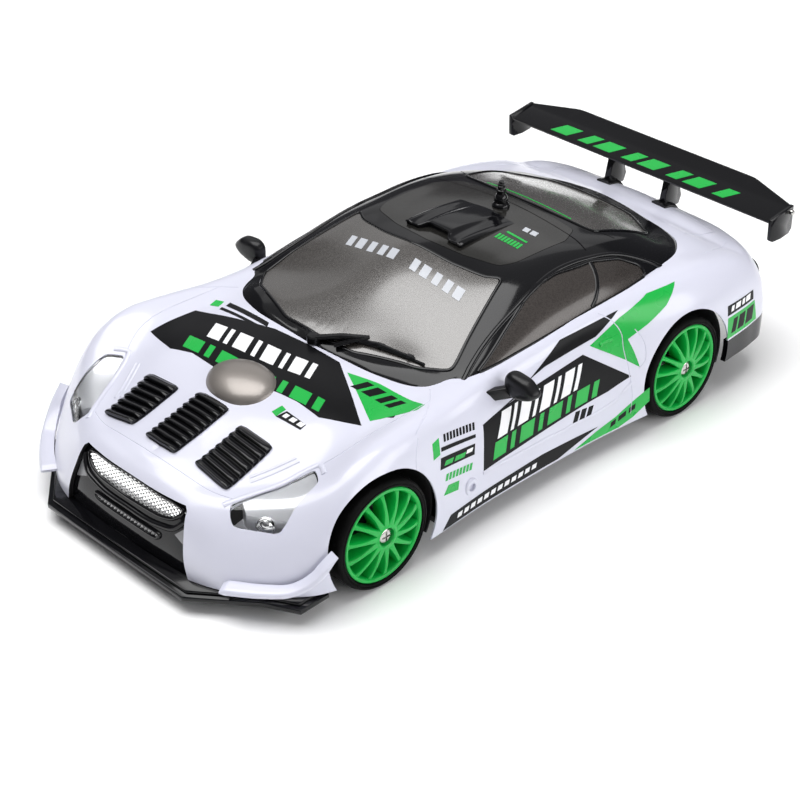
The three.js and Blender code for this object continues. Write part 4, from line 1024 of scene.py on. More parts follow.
ON_CABIN = {
    "screen_and_roof_marks": [
        ("top", bars((3.6, 21.0), (3.8, -21.0), 3.4, BANNER_CELLS, 0.3)),
        ("top", bars((-24.6, 13.4), (-25.0, 17.6), 2.2, [(0, 0.4), (0.55, 1)], 0.2)),
    ],
    "roof_marks_green": [
        ("top", bars((-16.4, 11.4), (-16.8, 19.4), 2.6, EVEN, 0.1)),
        ("top", [[(-21.4, 11.6), (-21.4, 18.4), (-20.6, 18.4), (-20.6, 11.6)]]),
        ("top", [[(-41.9, -15), (-41.9, 15), (-41.5, 15), (-41.5, -15)]]),
    ],
}
# Material, height over the skin and slot of each layer.
LAYERS = {
    "livery_black": (VINYL_BLACK, 0.045, "black_gloss"),
    "livery_green": (VINYL_GREEN, 0.065, "green_rim"),
    "livery_white": (VINYL_WHITE, 0.065, "white_shell"),
    "livery_black_marks": (VINYL_BLACK, 0.085, "black_gloss"),
    "screen_and_roof_marks": (VINYL_PALE, 0.12, "white_shell"),
    "roof_marks_green": (VINYL_GREEN, 0.12, "green_rim"),
}


def livery(skin, stickers, seams=()):
    """Lays each colour's stickers on the skin; those on a side go on both sides."""
    for name, views in stickers.items():
        material, lift, slot = LAYERS[name]
        layer = Livery(name, material, lift)
        for plane, outlines in views:
            for outline in outlines:
                for side in (1, -1) if plane == "side" else (1,):
                    layer.add(skin, plane, outline, side)
        layer.build(skin, seams)
    for seam in seams:
        bpy.data.objects.remove(seam)


livery(BODY_SKIN, ON_BODY, seam_cutters())
livery(CABIN_SKIN, ON_CABIN)


# ---- wheels ----
# Profiles are (radius, distance from the car's middle).
SPOKES = 14
RIM_PROFILE = [
    (10.9, 38.7), (12.05, 38.7), (12.1, 48.7), (12.0, 49.05), (11.75, 49.2), (11.4, 49.15),
    (11.1, 48.9), (10.9, 48.4), (10.85, 46.6), (10.9, 38.7),
]
HUB_PROFILE = [
    (0, 45.3), (3.4, 45.3), (3.7, 49.2), (3.5, 49.85), (3.1, 50.1), (2.6, 50.15), (2.3, 49.95),
    (2.25, 48.7), (0, 48.6),
]
TYRE_PROFILE = [
    (12.15, 38.8), (12.5, 38.4), (13.2, 38.3), (13.7, 38.55), (13.97, 39.2), (14.0, 40.2),
    (14.0, 47.4), (13.97, 48.3), (13.75, 48.95), (13.35, 49.25), (13.1, 49.28), (13.02, 49.12),
    (12.9, 49.12), (12.8, 49.28), (12.45, 49.25), (12.2, 49.0), (12.15, 48.6), (12.15, 38.8),
]


def lathe_data(profile, sides, verts, faces):
    """Adds a lathe about the Y axis to the lists; a radius of 0 closes on the axis."""
    start = len(verts)
    count = len(profile)
    for s in range(sides):
        angle = 2 * math.pi * s / sides
        for radius, reach in profile:
            verts.append((radius * math.sin(angle), reach, radius * math.cos(angle)))
    for s in range(sides):
        t = (s + 1) % sides
        for i in range(count - 1):
            a, b = start + s * count + i, start + t * count + i
            if profile[i][0] == 0:
                faces.append((a, a + 1, b + 1))
            elif profile[i + 1][0] == 0:
                faces.append((a, a + 1, b))
            else:
                faces.append((a, a + 1, b + 1, b))


SPOKE_FOOT = 2.9
SPOKE_REACH = 8.4
SPOKE_SWEEP = 0.05  # how far a spoke turns on its way out, in radians


def spoke_data(turn, verts, faces):
    """One curved spoke with a rounded face, sunk into the hub and the lip."""
    start = len(verts)
    steps = 14
    for i in range(steps + 1):
        t = i / steps
        radius = SPOKE_FOOT + SPOKE_REACH * t
        angle = turn + SPOKE_SWEEP * t
        bend = SPOKE_SWEEP if i else 0
        lean = math.atan2(radius * bend, SPOKE_REACH)
        across = Vector((math.cos(angle + lean), 0, -math.sin(angle + lean)))
        middle = Vector((radius * math.sin(angle), 0, radius * math.cos(angle)))
        half = 0.5 + 0.55 * (1 - t) ** 3 + 0.5 * t**10
        face = 48.75 + 1.35 * (1 - t**3)
        section = [
            (-1, 46.0), (-1, face - 0.5), (-0.72, face - 0.12), (0, face), (0.72, face - 0.12),
            (1, face - 0.5), (1, 46.0),
        ]
        for share, reach in section:
            point = middle + across * (half * share)
            verts.append((point.x, reach, point.z))
    size = len(section)
    faces += between(steps + 1, size, start)
    faces.append(tuple(start + k for k in range(size)))
    faces.append(tuple(start + steps * size + k for k in reversed(range(size))))


def at_wheel(verts, x, side):
    """The points moved to one wheel, mirrored for the right-hand side."""
    return [(a + x, b * side, c + AXLE_Z) for a, b, c in verts]


def wheels():
    """Each wheel's green rim, tyre and centre screw with a cross slot."""
    rim_verts, rim_faces = [], []
    lathe_data(RIM_PROFILE, 96, rim_verts, rim_faces)
    lathe_data(HUB_PROFILE, 48, rim_verts, rim_faces)
    for s in range(SPOKES):
        spoke_data(2 * math.pi * s / SPOKES, rim_verts, rim_faces)
    tyre_verts, tyre_faces = [], []
    lathe_data(TYRE_PROFILE, 128, tyre_verts, tyre_faces)
    head = [
        (0, 44.8), (0.8, 44.8), (0.8, 48.7), (2.0, 48.7), (2.05, 49.1), (1.75, 49.5), (1.1, 49.72),
        (0, 49.78),
    ]
    for end, x in (("front", FRONT_AXLE_X), ("rear", REAR_AXLE_X)):
        for side_name, side in SIDES.items():
            body = f"front_wheel_{side_name}" if end == "front" else "rear_axle_set"
            tail = f"{end}_{side_name}"
            rim = shape(f"wheel_rim_{tail}", at_wheel(rim_verts, x, side), rim_faces, GREEN, 32)
            ride(rim, body, [f"rim_{tail}"])
            tyre = shape(f"slick_tyre_{tail}", at_wheel(tyre_verts, x, side), tyre_faces, TYRE, 40)
            ride(tyre, body, [f"tyre_{tail}"])
            verts, faces = [], []
            lathe_data(head, 40, verts, faces)
            screw = shape(f"hub_screw_{tail}", at_wheel(verts, x, side), faces, STEEL, 40)
            for wide, tall in ((1.25, 0.26), (0.26, 1.25)):
                low = (x - wide, 49.2 if side > 0 else -51, AXLE_Z - tall)
                high = (x + wide, 51 if side > 0 else -49.2, AXLE_Z + tall)
                boolean(screw, box("cross", low, high))
            settle(screw, 40)
            ride(screw, body, [f"wheel_screw_{tail}"])


wheels()


# ---- shared shapes for the fitted pieces ----
def loft(name, rings, material, **options):
    """A closed solid through rings of equal length."""
    size = len(rings[0])
    verts = [tuple(point) for ring in rings for point in ring]
    ends = [tuple(range(size)), tuple(range(len(verts) - size, len(verts)))]
    return shape(name, verts, ends + between(len(rings), size), material, **options)


def patch(name, skin, plane, outline, lift, depth, material):
    """A raised pad that follows the skin."""
    pad = Livery(name, material, lift, depth)
    pad.add(skin, plane, outline)
    made = pad.mesh()
    skin.shade(made, reach=lift + 0.2, angle=50)
    return made


def trim(name, skin, plane, points, radius, material, side=1, lift=0.0, flat=0.7, close=False):
    """A rounded strip lying on the skin."""
    path = on_skin(skin, plane, points, side, close=close)
    return tube(name, path, radius, material, 10, close, -lift, flat)


def mirrored(name, made):
    """The other side's copy, with its faces turned back outwards."""
    twin = made.copy()
    twin.data = made.data.copy()
    twin.name = name
    scene.collection.objects.link(twin)
    for vert in twin.data.vertices:
        vert.co.y = -vert.co.y
    work = bmesh.new()
    work.from_mesh(twin.data)
    bmesh.ops.reverse_faces(work, faces=work.faces)
    work.to_mesh(twin.data)
    work.free()
    return twin


def pair(name, made, replaced=None, angle=35):
    """Puts a left-hand piece and its mirror image on the car."""
    twin = mirrored(f"{name}_right", made)
    made.name = f"{name}_left"
    for one, side in ((made, "left"), (twin, "right")):
        one.data.set_sharp_from_angle(angle=math.radians(angle))
        ride(one, replaces=[f"{replaced}_{side}"] if replaced else [])


# ---- nose ----
# The two meshes in the mouth (y, z), and how far they lie behind the nose's surface.
MESH_TOP = [
    (-18.2, 21.3), (-14, 21.9), (0, 22.1), (14, 21.9), (18.2, 21.3), (15.6, 18.2), (11.5, 17.2),
    (0, 16.8), (-11.5, 17.2), (-15.6, 18.2),
]
MESH_LOW = [(-12.4, 13.1), (0, 13.1), (12.4, 13.1), (11.4, 11.5), (0, 11.5), (-11.4, 11.5)]
PANEL_DROP = 1.5
DIAMOND = [(-0.8, 0, 0), (0, -0.5, 0), (0.8, 0, 0), (0, 0.5, 0)]


def behind(y, z, drop):
    """The point so far behind the nose's surface."""
    where, normal = BODY_SKIN.drop("front", y, z)
    return where - normal * drop


def facing(points, drop):
    """Points behind the nose, each looking forward, for a tube."""
    return [(behind(y, z, drop), Vector((1, 0, 0))) for y, z in points]


def inside_outline(y, z, outline):
    """Whether the point is in the outline, by counting the edges beside it."""
    inside = False
    for (a, b), (c, d) in zip(outline, outline[1:] + outline[:1]):
        if (b > z) != (d > z) and y < (c - a) * (z - b) / (d - b) + a:
            inside = not inside
    return inside


def scales(name, outline, pitch, rise):
    """Rows of raised diamonds over a plate that follows the nose."""
    verts, faces = [], []
    rows = math.ceil(6 / pitch)
    low_z = min(z for y, z in outline)
    for row in range(rows * 2):
        z = low_z + row * pitch / 2
        shift = pitch * 0.8 * (row % 2)
        for k in range(-20, 21):
            y = k * pitch * 1.6 + shift
            if not inside_outline(y, z, outline):
                continue
            start = len(verts)
            for dy, dz, lift in [*DIAMOND, (0, 0.08, rise)]:
                at = y + dy * pitch * 0.92, z + dz * pitch * 0.92
                verts.append(tuple(behind(*at, PANEL_DROP - 0.14 - lift)))
            for i in range(4):
                faces.append((start + i, start + (i + 1) % 4, start + 4))
            faces.append((start, start + 3, start + 2, start + 1))
    return shape(name, verts, faces, CHROME, angle=20)


def grille():
    """A black panel in the mouth, with two silver meshes, their rims, a lip and side ducts."""
    panel = BODY_SKIN.solid("grille_panel", 1.4, [BLACK], lift=-PANEL_DROP)
    mouth = smoothed(resized(GRILLE_MOUTH, 0.4), 1)
    boolean(panel, prism("mouth", mouth, "yz", 80, 110), "INTERSECT")
    settle(panel, 30)
    ride(panel, replaces=["front_grille"])
    meshes = (("upper", MESH_TOP, 1.0, VINYL_GREY), ("lower", MESH_LOW, 0.8, LAMP_SILVER))
    for name, outline, pitch, material in meshes:
        back = Livery(f"mesh_back_{name}", material, -PANEL_DROP + 0.12, PANEL_DROP + 0.2)
        back.add(BODY_SKIN, "front", outline)
        net = combine(f"grille_mesh_{name}", [back.mesh(), scales("net", outline, pitch, 0.3)])
        ride(net)
        rim = facing(round_trip(outline), PANEL_DROP - 0.2)
        ride(tube(f"grille_rim_{name}", rim, 0.5, BLACK, 10, True))
    lip = [
        (-19.4, 19.6), (-16.4, 16.4), (-11.8, 15.2), (0, 14.7), (11.8, 15.2), (16.4, 16.4),
        (19.4, 19.6),
    ]
    path = facing(spline(lip), PANEL_DROP - 0.2)
    ride(tube("grille_lip", path, 0.75, BLACK, 12))
    duct = Livery("grille_side_duct", VINYL_GREY, -PANEL_DROP + 0.15, PANEL_DROP + 0.2)
    for side in (1, -1):
        corners = [(20.0 * side, 18.0), (20.9 * side, 13.2), (16.6 * side, 15.0)]
        duct.add(BODY_SKIN, "front", corners)
    ride(duct.mesh())


def round_trip(points, pitch=0.8):
    """The whole of a closed outline with rounded corners, in short even steps."""
    return stepped(smoothed(points, 3), pitch, close=True)


grille()

# The splitter's half outline (x, y), and the canard's front edge from the nose backwards.
SPLITTER = [
    (98.5, 0), (98.5, 25.5), (87, 39.5), (82.5, 47.8), (73.5, 47.4), (73.5, 33), (84, 26), (84, 0),
]
plate = prism("splitter_plate", whole(SPLITTER), "xy", 3.6, 4.9, BLACK, bevel=0.3, segments=3)
inner = resized(whole(SPLITTER), -1.3)
step = prism("splitter_step", inner, "xy", 4.8, 5.75, BLACK, bevel=0.3, segments=3)
ride(combine("splitter", [plate, step]), replaces=["front_splitter"])


CANARD = [
    (94.4, 33.6, 8.2), (93.2, 35.6, 8.4), (89.2, 41.4, 8.7), (84, 47.2, 9.6), (79, 50.5, 13),
    (74.6, 51.7, 17.4),
]


def canard():
    """A blade with a rounded edge that climbs round the bumper's corner."""
    path = refine([Vector(point) for point in CANARD], 6)
    rings = []
    for i, point in enumerate(path):
        t = i / (len(path) - 1)
        ahead = (path[min(i + 1, len(path) - 1)] - path[max(i - 1, 0)]).normalized()
        inward = Vector((0, 0, 1)).cross(ahead).normalized()
        if inward.dot(Vector((60, 10, 0)) - Vector((point.x, point.y, 0))) < 0:
            inward = -inward
        up = ahead.cross(inward)
        up = up if up.z > 0 else -up
        wide = lerp(4.2, 3.0, t)
        half = lerp(0.95, 0.7, t) * min(1, 0.35 + 6 * t, 0.3 + 5 * (1 - t))
        section = [
            (-wide, -half), (-0.7, -half), (-0.2, -half * 0.7), (0, 0), (-0.2, half * 0.7),
            (-0.7, half), (-wide, half),
        ]
        rings.append([point - inward * a + up * b for a, b in section])
    return loft("canard", rings, WHITE, angle=60)


pair("canard", canard(), angle=60)


# One slat from its front edge back: share of the pitch and rise.
SLAT = [
    (0.02, 0.2), (0.04, 1.1), (0.09, 1.32), (0.17, 1.42), (0.3, 1.42), (0.6, 1.1), (0.84, 0.75),
    (0.93, 0.55), (0.93, 0.2),
]


def louvre_vent(name, x0, x1, y0, y1, slats):
    """A black pad on the bonnet with overlapping slats across it."""
    corner = smoothed([(x0, y0), (x1, y0), (x1, y1), (x0, y1)])
    made = [patch("base", BODY_SKIN, "top", corner, 0.35, 0.2, BLACK)]
    pitch = (x1 - x0 - 0.3) / slats
    for k in range(slats):
        rings = []
        back = x0 + 0.15 + pitch * k
        parts = max(6, round((y1 - y0) / 0.8))
        for s in range(parts + 1):
            y = lerp(y0 + 0.2, y1 - 0.2, s / parts)
            end = min(1, 0.6 + 4 * min(s, parts - s) / parts)
            ring = []
            for share, rise in SLAT:
                where, normal = BODY_SKIN.drop("top", back + pitch * (1 - share), y)
                ring.append(where + normal * (0.2 + (rise - 0.2) * end))
            rings.append(ring)
        made.append(loft("slat", rings, BLACK, angle=30))
    return ride(combine(f"{name}_louvres", made), replaces=[name])


louvre_vent("bonnet_vent_left", 67.6, 82.2, 11.4, 22.6, 7)
louvre_vent("bonnet_vent_right", 67.6, 82.2, -22.6, -11.4, 7)
louvre_vent("bonnet_vent_center", 66.0, 83.2, -5.3, 5.3, 9)


# The lamp's round projector: (radius, distance along its aim).
PROJECTOR = [
    (0.05, -0.6), (2.3, -0.6), (2.3, 0.35), (2.1, 0.55), (1.85, 0.45), (1.7, 0.1), (1.2, 0.45),
    (0.6, 0.65), (0.05, 0.7),
]


def headlamp():
    """The left lamp's clear lens, and its silver bowl with a round projector."""
    outline = smoothed(LAMP, 2)
    lens = BODY_SKIN.solid("lens", 0.6, CLEAR, lift=-0.12)
    boolean(lens, prism("edge", resized(outline, -0.12), "xy", 16, 40), "INTERSECT")
    BODY_SKIN.shade(lens, reach=0.8)
    bowl = BODY_SKIN.solid("bowl", 0, LAMP_SILVER, lift=-0.78)
    boolean(bowl, prism("edge", resized(outline, -0.15), "xy", 15, 40), "INTERSECT")
    front = [(90, 24), (90, 46), (78.2, 46), (78.2, 38.6), (82.9, 30.4), (81.6, 27.6), (83, 24)]
    floor = BODY_SKIN.solid("floor", 0, LAMP_SILVER, lift=-4.6)
    notch = prism("notch", front, "xy", 10, 40)
    boolean(notch, floor)
    boolean(bowl, notch)
    wheel = rod("tyre_room", "y", (FRONT_AXLE_X, 20, AXLE_Z), 40, 15.9, sides=64)
    boolean(bowl, wheel)
    settle(bowl, 30)
    middle = Vector((81.2, 35.0, 20.6))
    aim = Vector((0.80, 0.52, 0.3)).normalized()
    across = aim.cross(Vector((0, 0, 1))).normalized()
    up = across.cross(aim)
    turns = [2 * math.pi * s / 32 for s in range(32)]
    rings = []
    for radius, reach in PROJECTOR:
        base = middle + aim * reach
        u, v = across * radius, up * radius
        rings.append([base + u * math.cos(a) + v * math.sin(a) for a in turns])
    projector = loft("projector", rings, CHROME, angle=40)
    return lens, combine("headlamp_bowl", [bowl, projector])


lens, bowl = headlamp()
pair("headlamp_lens", lens, "headlight_lens")
pair("headlamp_bowl", bowl, "headlight_reflector")
BROW = [
    (85.2, 25.2), (79.4, 28.0), (72.6, 31.2), (66.4, 33.8), (64.9, 34.9), (65.2, 36.2),
    (66.6, 38.4),
]
brow = trim("brow", BODY_SKIN, "top", spline(BROW), 0.8, WHITE, lift=-0.25)
pair("headlamp_brow", brow, angle=60)
RIBS = ([(77.0, 25.0), (66.6, 30.0)], [(76.2, 23.9), (66.4, 28.8)])
for k, run in enumerate(RIBS):
    strip = trim("rib", BODY_SKIN, "top", run, 0.4, WHITE, flat=0.5)
    pair(f"bonnet_rib_{k + 1}", strip, angle=60)


def bonnet_dome():
    """An oval bulge, leaning forward with the bonnet."""
    turns = [math.pi / 2 * s / 12 for s in range(1, 12)]
    profile = [(0, -3), (0.99, -3), (1.06, 0.1), (1.04, 0.5)]
    profile += [(math.cos(a), 0.5 + 3.6 * math.sin(a)) for a in turns] + [(0, 4.1)]
    made = turned("bonnet_dome", profile, "z", (0, 0, 0), BRONZE, angle=40)
    half_long, half_wide = 7.3, 9.9
    sine, cosine = math.sin(math.radians(12)), math.cos(math.radians(12))
    for vert in made.data.vertices:
        x, y, z = vert.co.x * half_long, vert.co.y * half_wide, vert.co.z
        vert.co = Vector((58 * MM + x * cosine + z * sine, y, 32.4 * MM + z * cosine - x * sine))
    return made


ride(bonnet_dome(), replaces=["bonnet_bulge"])


# ---- cabin trim ----
def frame_strips():
    """A black strip round each window."""
    openings = [(whole(SCREEN), "top", 1), (whole(BACKLIGHT), "top", 1)]
    openings += [(SIDE_GLASS, "side", 1), (SIDE_GLASS, "side", -1)]
    made = []
    for outline, plane, side in openings:
        edge = smoothed(resized(outline, 0.3))
        made.append(trim("strip", CABIN_SKIN, plane, edge, 0.42, BLACK, side, 0.1, close=True))
    return combine("window_frames", made)


ride(frame_strips())
# Strips on the cabin's side (x, z): above the windows, and between them.
RAIL = [
    (21.6, 35.2), (12, 39.4), (0, 43.4), (-8, 45.6), (-18, 47.0), (-30, 46.6), (-40, 44.6),
    (-48, 41.0), (-53, 37.8),
]
rail = trim("rail", CABIN_SKIN, "side", spline(RAIL), 0.7, BLACK, lift=0.05, flat=0.6)
pair("drip_rail", rail, angle=60)
POST = [(-22.4, 38.9), (-24.6, 40.4), (-27.0, 42.4), (-28.8, 44.6), (-29.6, 46.0)]
post = trim("post", CABIN_SKIN, "side", spline(POST), 0.7, BLACK, lift=0.0, flat=0.4)
pair("centre_post", post, angle=60)


def roof_scoop():
    """A low scoop with a stepped front edge, side ribs and a tail that sinks into the roof."""
    across, along = 40, 30
    top, low = [], []
    for s in range(across + 1):
        y = lerp(-9.6, 9.6, s / across)
        reach = abs(y)
        front = -8.4 + 2.2 * min(1, max(0, (reach - 3.6) / 1.6))
        tall = 1.55 - 0.65 * min(1, max(0, (reach - 3.8) / 1.2))
        tall += 0.35 * math.exp(-((reach - 8.6) ** 2) / 0.5)
        row_top, row_low = [], []
        for i in range(along + 1):
            t = i / along
            x = lerp(front, -27.5 + reach * 0.12, t)
            rise = tall * (1 - t**1.5) + 0.02
            if t < 0.06:
                rise *= 0.86 + 2.3 * t
            where, normal = CABIN_SKIN.drop("top", x, y)
            row_top.append(where + normal * rise)
            row_low.append(where - normal * 0.3)
        top.append(row_top)
        low.append(row_low)
    rings = [a + list(reversed(b)) for a, b in zip(top, low)]
    scoop = loft("roof_scoop_shell", rings, BLACK, angle=38)
    edge = [(row[0] + Vector((0.05, 0, 0)), Vector((0, 0, 1))) for row in top]
    return combine("roof_scoop_shell", [scoop, tube("lip", edge, 0.28, BLACK, 8)])


ride(roof_scoop(), replaces=["roof_scoop"])
# The aerial's profile: (radius, height).
AERIAL = [
    (0, 48.5), (1.9, 48.5), (2.3, 49.3), (2.35, 50.1), (2.1, 50.6), (1.75, 50.9), (1.85, 51.6),
    (1.75, 52.3), (1.4, 53.0), (1.15, 53.3), (1.15, 54.0), (1.28, 54.1), (1.28, 54.45),
    (1.0, 54.6), (0.92, 55.2), (1.02, 55.3), (1.02, 55.55), (0.86, 55.65), (0.86, 56.5),
    (0.7, 56.8), (0, 56.85),
]
aerial = turned("aerial", AERIAL, "z", (-31, 0, 0), BLACK, sides=40)
ride(aerial, replaces=["roof_antenna"])


def raised_path(points, lifts):
    """Points over the windscreen, each lifted off it."""
    made = []
    for (x, y), lift in zip(points, lifts):
        found = CABIN_SKIN.drop("top", x, y) or BODY_SKIN.drop("top", x, y)
        made.append(found[0] + found[1] * lift)
    return made


def bar(name, path, wide, tall, material, bevel=0.12):
    """A rectangular bar along the points, tapered to 70 percent."""
    rings = []
    for i, point in enumerate(path):
        ahead = (path[min(i + 1, len(path) - 1)] - path[max(i - 1, 0)]).normalized()
        across = ahead.cross(Vector((0, 0, 1))).normalized()
        up = across.cross(ahead)
        share = lerp(1, 0.7, i / (len(path) - 1))
        half, high = wide / 2 * share, tall / 2 * share
        corners = ((-1, -1), (1, -1), (1, 1), (-1, 1))
        rings.append([point + across * (half * a) + up * (high * b) for a, b in corners])
    return loft(name, rings, material, bevel=bevel)


BLADE = [(33.4, 3.6), (30.8, 9.8), (28.9, 16), (27.4, 22.6), (25.6, 29.0)]
# The wiper's bars: points, height of each over the glass, width and thickness.
WIPER = {
    "arm": ([(35.4, 0.8), (31.8, 7.4), (28.6, 13.4)], [0.9, 1.6, 1.4], 1.7, 0.9),
    "brace": ([(34.4, 7.2), (31.4, 10.6), (28.6, 13.6)], [0.9, 1.3, 1.4], 1.2, 0.8),
    "blade": (BLADE, [0.5, 0.55, 0.6, 0.6, 0.5], 0.9, 0.9),
    "spine": ([(31.6, 8.2), (28.6, 16.4), (26.3, 26.4)], [1.0, 1.35, 1.0], 0.95, 0.6),
}


def wiper():
    """The arm with its brace, the blade under a spine with clips, and the pivot."""
    made = []
    for name, (points, lifts, wide, tall) in WIPER.items():
        made.append(bar(name, raised_path(points, lifts), wide, tall, SATIN))
    for x, y in ((31.3, 9.2), (28.6, 16.6), (26.8, 24.4)):
        ends = raised_path([(x, y), (x - 0.7, y + 1.4)], [0.9, 0.9])
        made.append(bar("clip", ends, 1.5, 0.9, SATIN))
    foot = [(0, -0.8), (1.7, -0.8), (1.7, 0.7), (1.4, 1.1), (0.8, 1.25), (0, 1.25)]
    base = raised_path([(35.4, 0.8)], [0.4])[0]
    made.append(turned("pivot", foot, "z", tuple(base), SATIN, sides=32))
    return combine("wiper_assembly", made)


ride(wiper(), replaces=["wiper"])
# The mirror seen from behind (y, z), its middle, and its size at each x from the glass forward.
MIRROR_FACE = [
    (44.0, 32.0), (43.9, 36.6), (46.2, 38.0), (51.6, 37.4), (54.9, 34.4), (52.6, 32.2),
    (47.2, 30.8),
]
MIRROR_MIDDLE = (49.4, 34.4)
MIRROR_SIZES = [
    (11.6, 0.86), (11.7, 0.92), (12.0, 0.96), (13.0, 0.97), (13.9, 0.93), (14.5, 0.85),
    (14.9, 0.7), (15.15, 0.45), (15.25, 0.12),
]


def door_mirror():
    """A rounded head with the glass in a recess, on a stem from the door."""
    outline = round_trip(MIRROR_FACE, 5)
    middle_y, middle_z = MIRROR_MIDDLE

    def face(size):
        return [(lerp(middle_y, y, size), lerp(middle_z, z, size)) for y, z in outline]

    rings = [[Vector((x, y, z)) for y, z in face(size)] for x, size in MIRROR_SIZES]
    head = loft("head", rings, SATIN, angle=50)
    boolean(head, prism("recess", face(0.76), "yz", 8, 12.0))
    settle(head, 50)
    glass = prism("glass", face(0.73), "yz", 11.8, 12.2, CHROME, bevel=0.08)
    foot, top = (20.6, 41.6), (13.2, 46.6)
    section = [(30.0, 0.3), (33.0, 0.3), (33.0, -1.9), (30.0, -1.9)]
    rings = []
    for t in (0, 0.5, 1):
        x, y = lerp(foot[0], top[0], t), lerp(foot[1], top[1], t)
        ring = [(x + across * 0.9, y + across * 0.5, z + 0.7 * t) for z, across in section]
        rings.append([Vector(point) for point in ring])
    stem = loft("stem", rings, SATIN, bevel=0.3)
    return combine("door_mirror", [head, glass, stem])


pair("door_mirror", door_mirror(), "mirror", angle=45)


# ---- body details ----
HANDLE = [(-19.8, 31.2), (-21.6, 31.6), (-24.2, 31.4)]
handle = trim("handle", BODY_SKIN, "side", HANDLE, 0.55, VINYL_GREEN, flat=0.8)
pair("door_handle", handle, angle=60)
LEDGE = [
    (24.2, 14.9), (14, 14.5), (3.6, 14.2), (-8, 13.9), (-18, 13.9), (-25, 15.2), (-29.4, 17.9),
]
ledge = trim("ledge", BODY_SKIN, "side", spline(LEDGE), 0.5, WHITE, flat=0.5)
pair("door_ledge", ledge, angle=60)


def arch_shade_sheet(x):
    """A near-black sheet of painted shade over one wheel, cut off well below the skin."""
    rings = []
    turns = 40
    section = ((16.65, 26), (16.65, 47.4), (17.15, 47.4), (17.15, 26))
    for s in range(turns + 1):
        angle = math.radians(lerp(-26, 206, s / turns))
        ring = []
        for radius, y in section:
            ahead, up = radius * math.cos(angle), radius * math.sin(angle)
            ring.append(Vector((x + ahead, y, AXLE_Z + up)))
        rings.append(ring)
    shade_sheet = loft("arch_shade_sheet", rings, INNER_SHADE, angle=40)
    boolean(shade_sheet, BODY_SKIN.solid("room", 0, NYLON, lift=-1.4), "INTERSECT")
    settle(shade_sheet, 40)
    return shade_sheet


# Each wheel arch gets a near-black sheet that stands in for the shade there.
for end, x in (("front", FRONT_AXLE_X), ("rear", REAR_AXLE_X)):
    pair(f"arch_liner_{end}", arch_shade_sheet(x), angle=40)

# The body screw's boss and cap: (radius, distance from the car's middle).
BOSS = [
    (1.75, 43.5), (1.75, 48.0), (2.3, 48.0), (2.75, 47.7), (3.0, 47.1), (3.0, 43.5), (1.75, 43.5),
]
CAP = [
    (0, 42), (1.3, 42), (1.3, 47.2), (2.15, 47.2), (2.2, 48.6), (1.9, 48.95), (1.2, 49.0),
    (1.05, 48.9), (1.0, 48.2), (0, 48.2),
]
at = (SCREW[0], 0, SCREW[1])
boss = turned("boss", BOSS, "y", at, WHITE, sides=40)
pair("screw_boss", boss, angle=50)
cap = turned("cap", CAP, "y", at, WHITE, sides=36)
pair("body_screw_cap", cap, "body_screw", 40)


# ---- wing and tail ----
# The blade's upper and lower lines (x, z), from its front edge to its tail and back.
WING_TOP = [
    (-85.3, 43.1), (-86.2, 43.45), (-93.0, 44.7), (-94.0, 45.0), (-98.2, 46.65), (-98.5, 46.6),
]
WING_LOW = [(-98.4, 46.1), (-94.0, 44.3), (-92.0, 43.5), (-86.2, 42.55), (-85.4, 42.65)]


def height_at(line, x):
    """The line's z at that x."""
    for (a, b), (c, d) in zip(line, line[1:]):
        if min(a, c) <= x <= max(a, c):
            return lerp(b, d, (x - a) / (c - a))
    return line[-1][1]


WING_FOLD = -93.5  # behind this the blade's tail edge is drawn in towards its tips


def wing():
    """The blade between two end plates, with a bolt on the left one."""
    rings = []
    for s in range(57):
        y = lerp(-46.4, 46.4, s / 56)
        tail = -98.5 if abs(y) < 31 else lerp(-98.5, -94.4, (abs(y) - 31) / 15.4)
        ring = []
        for line in (WING_TOP, WING_LOW):
            for x, _ in line:
                moved = x if x > WING_FOLD else lerp(WING_FOLD, x, (tail - WING_FOLD) / -5.0)
                z = height_at(line, moved if x > -98 else max(moved, -98.2))
                ring.append(Vector((moved, y, z)))
        rings.append(ring)
    parts = [loft("blade", rings, BLACK, angle=12)]
    plate = [
        (-85.2, 37.9), (-85.0, 43.9), (-94.6, 45.4), (-94.6, 38.6), (-93.4, 37.3), (-90, 36.9),
        (-86.4, 37.1),
    ]
    for low, high in ((46.2, 47.4), (-47.4, -46.2)):
        parts.append(prism("end_plate", plate, "xz", low, high, BLACK, bevel=0.25, segments=3))
    bolt = [(0, 0), (0.7, 0), (0.7, 0.9), (0.45, 1.2), (0, 1.2)]
    parts.append(turned("bolt", bolt, "y", (-93.2, 47.3, 43.9), STEEL, sides=20))
    return combine("wing_blade_finished", parts)


ride(wing(), replaces=["wing_blade"])


def wing_marks():
    """Slanted green bars along the blade's top."""
    verts, faces = [], []
    cells = [(k / 8, k / 8 + (0.095 if k % 2 else 0.06)) for k in range(8)]
    for outline in bars((-91.6, 32.0), (-91.2, -32.0), 4.4, cells, -0.6):
        start = len(verts)
        for lift in (0.05, -0.1):
            verts += [(x, y, height_at(WING_TOP, x) + lift) for x, y in outline]
        faces += [tuple(start + k for k in range(4)), tuple(start + k for k in (7, 6, 5, 4))]
        for a, b in ((0, 1), (1, 2), (2, 3), (3, 0)):
            faces.append((start + a, start + b, start + 4 + b, start + 4 + a))
    return shape("wing_marks", verts, faces, VINYL_GREEN)


ride(wing_marks())


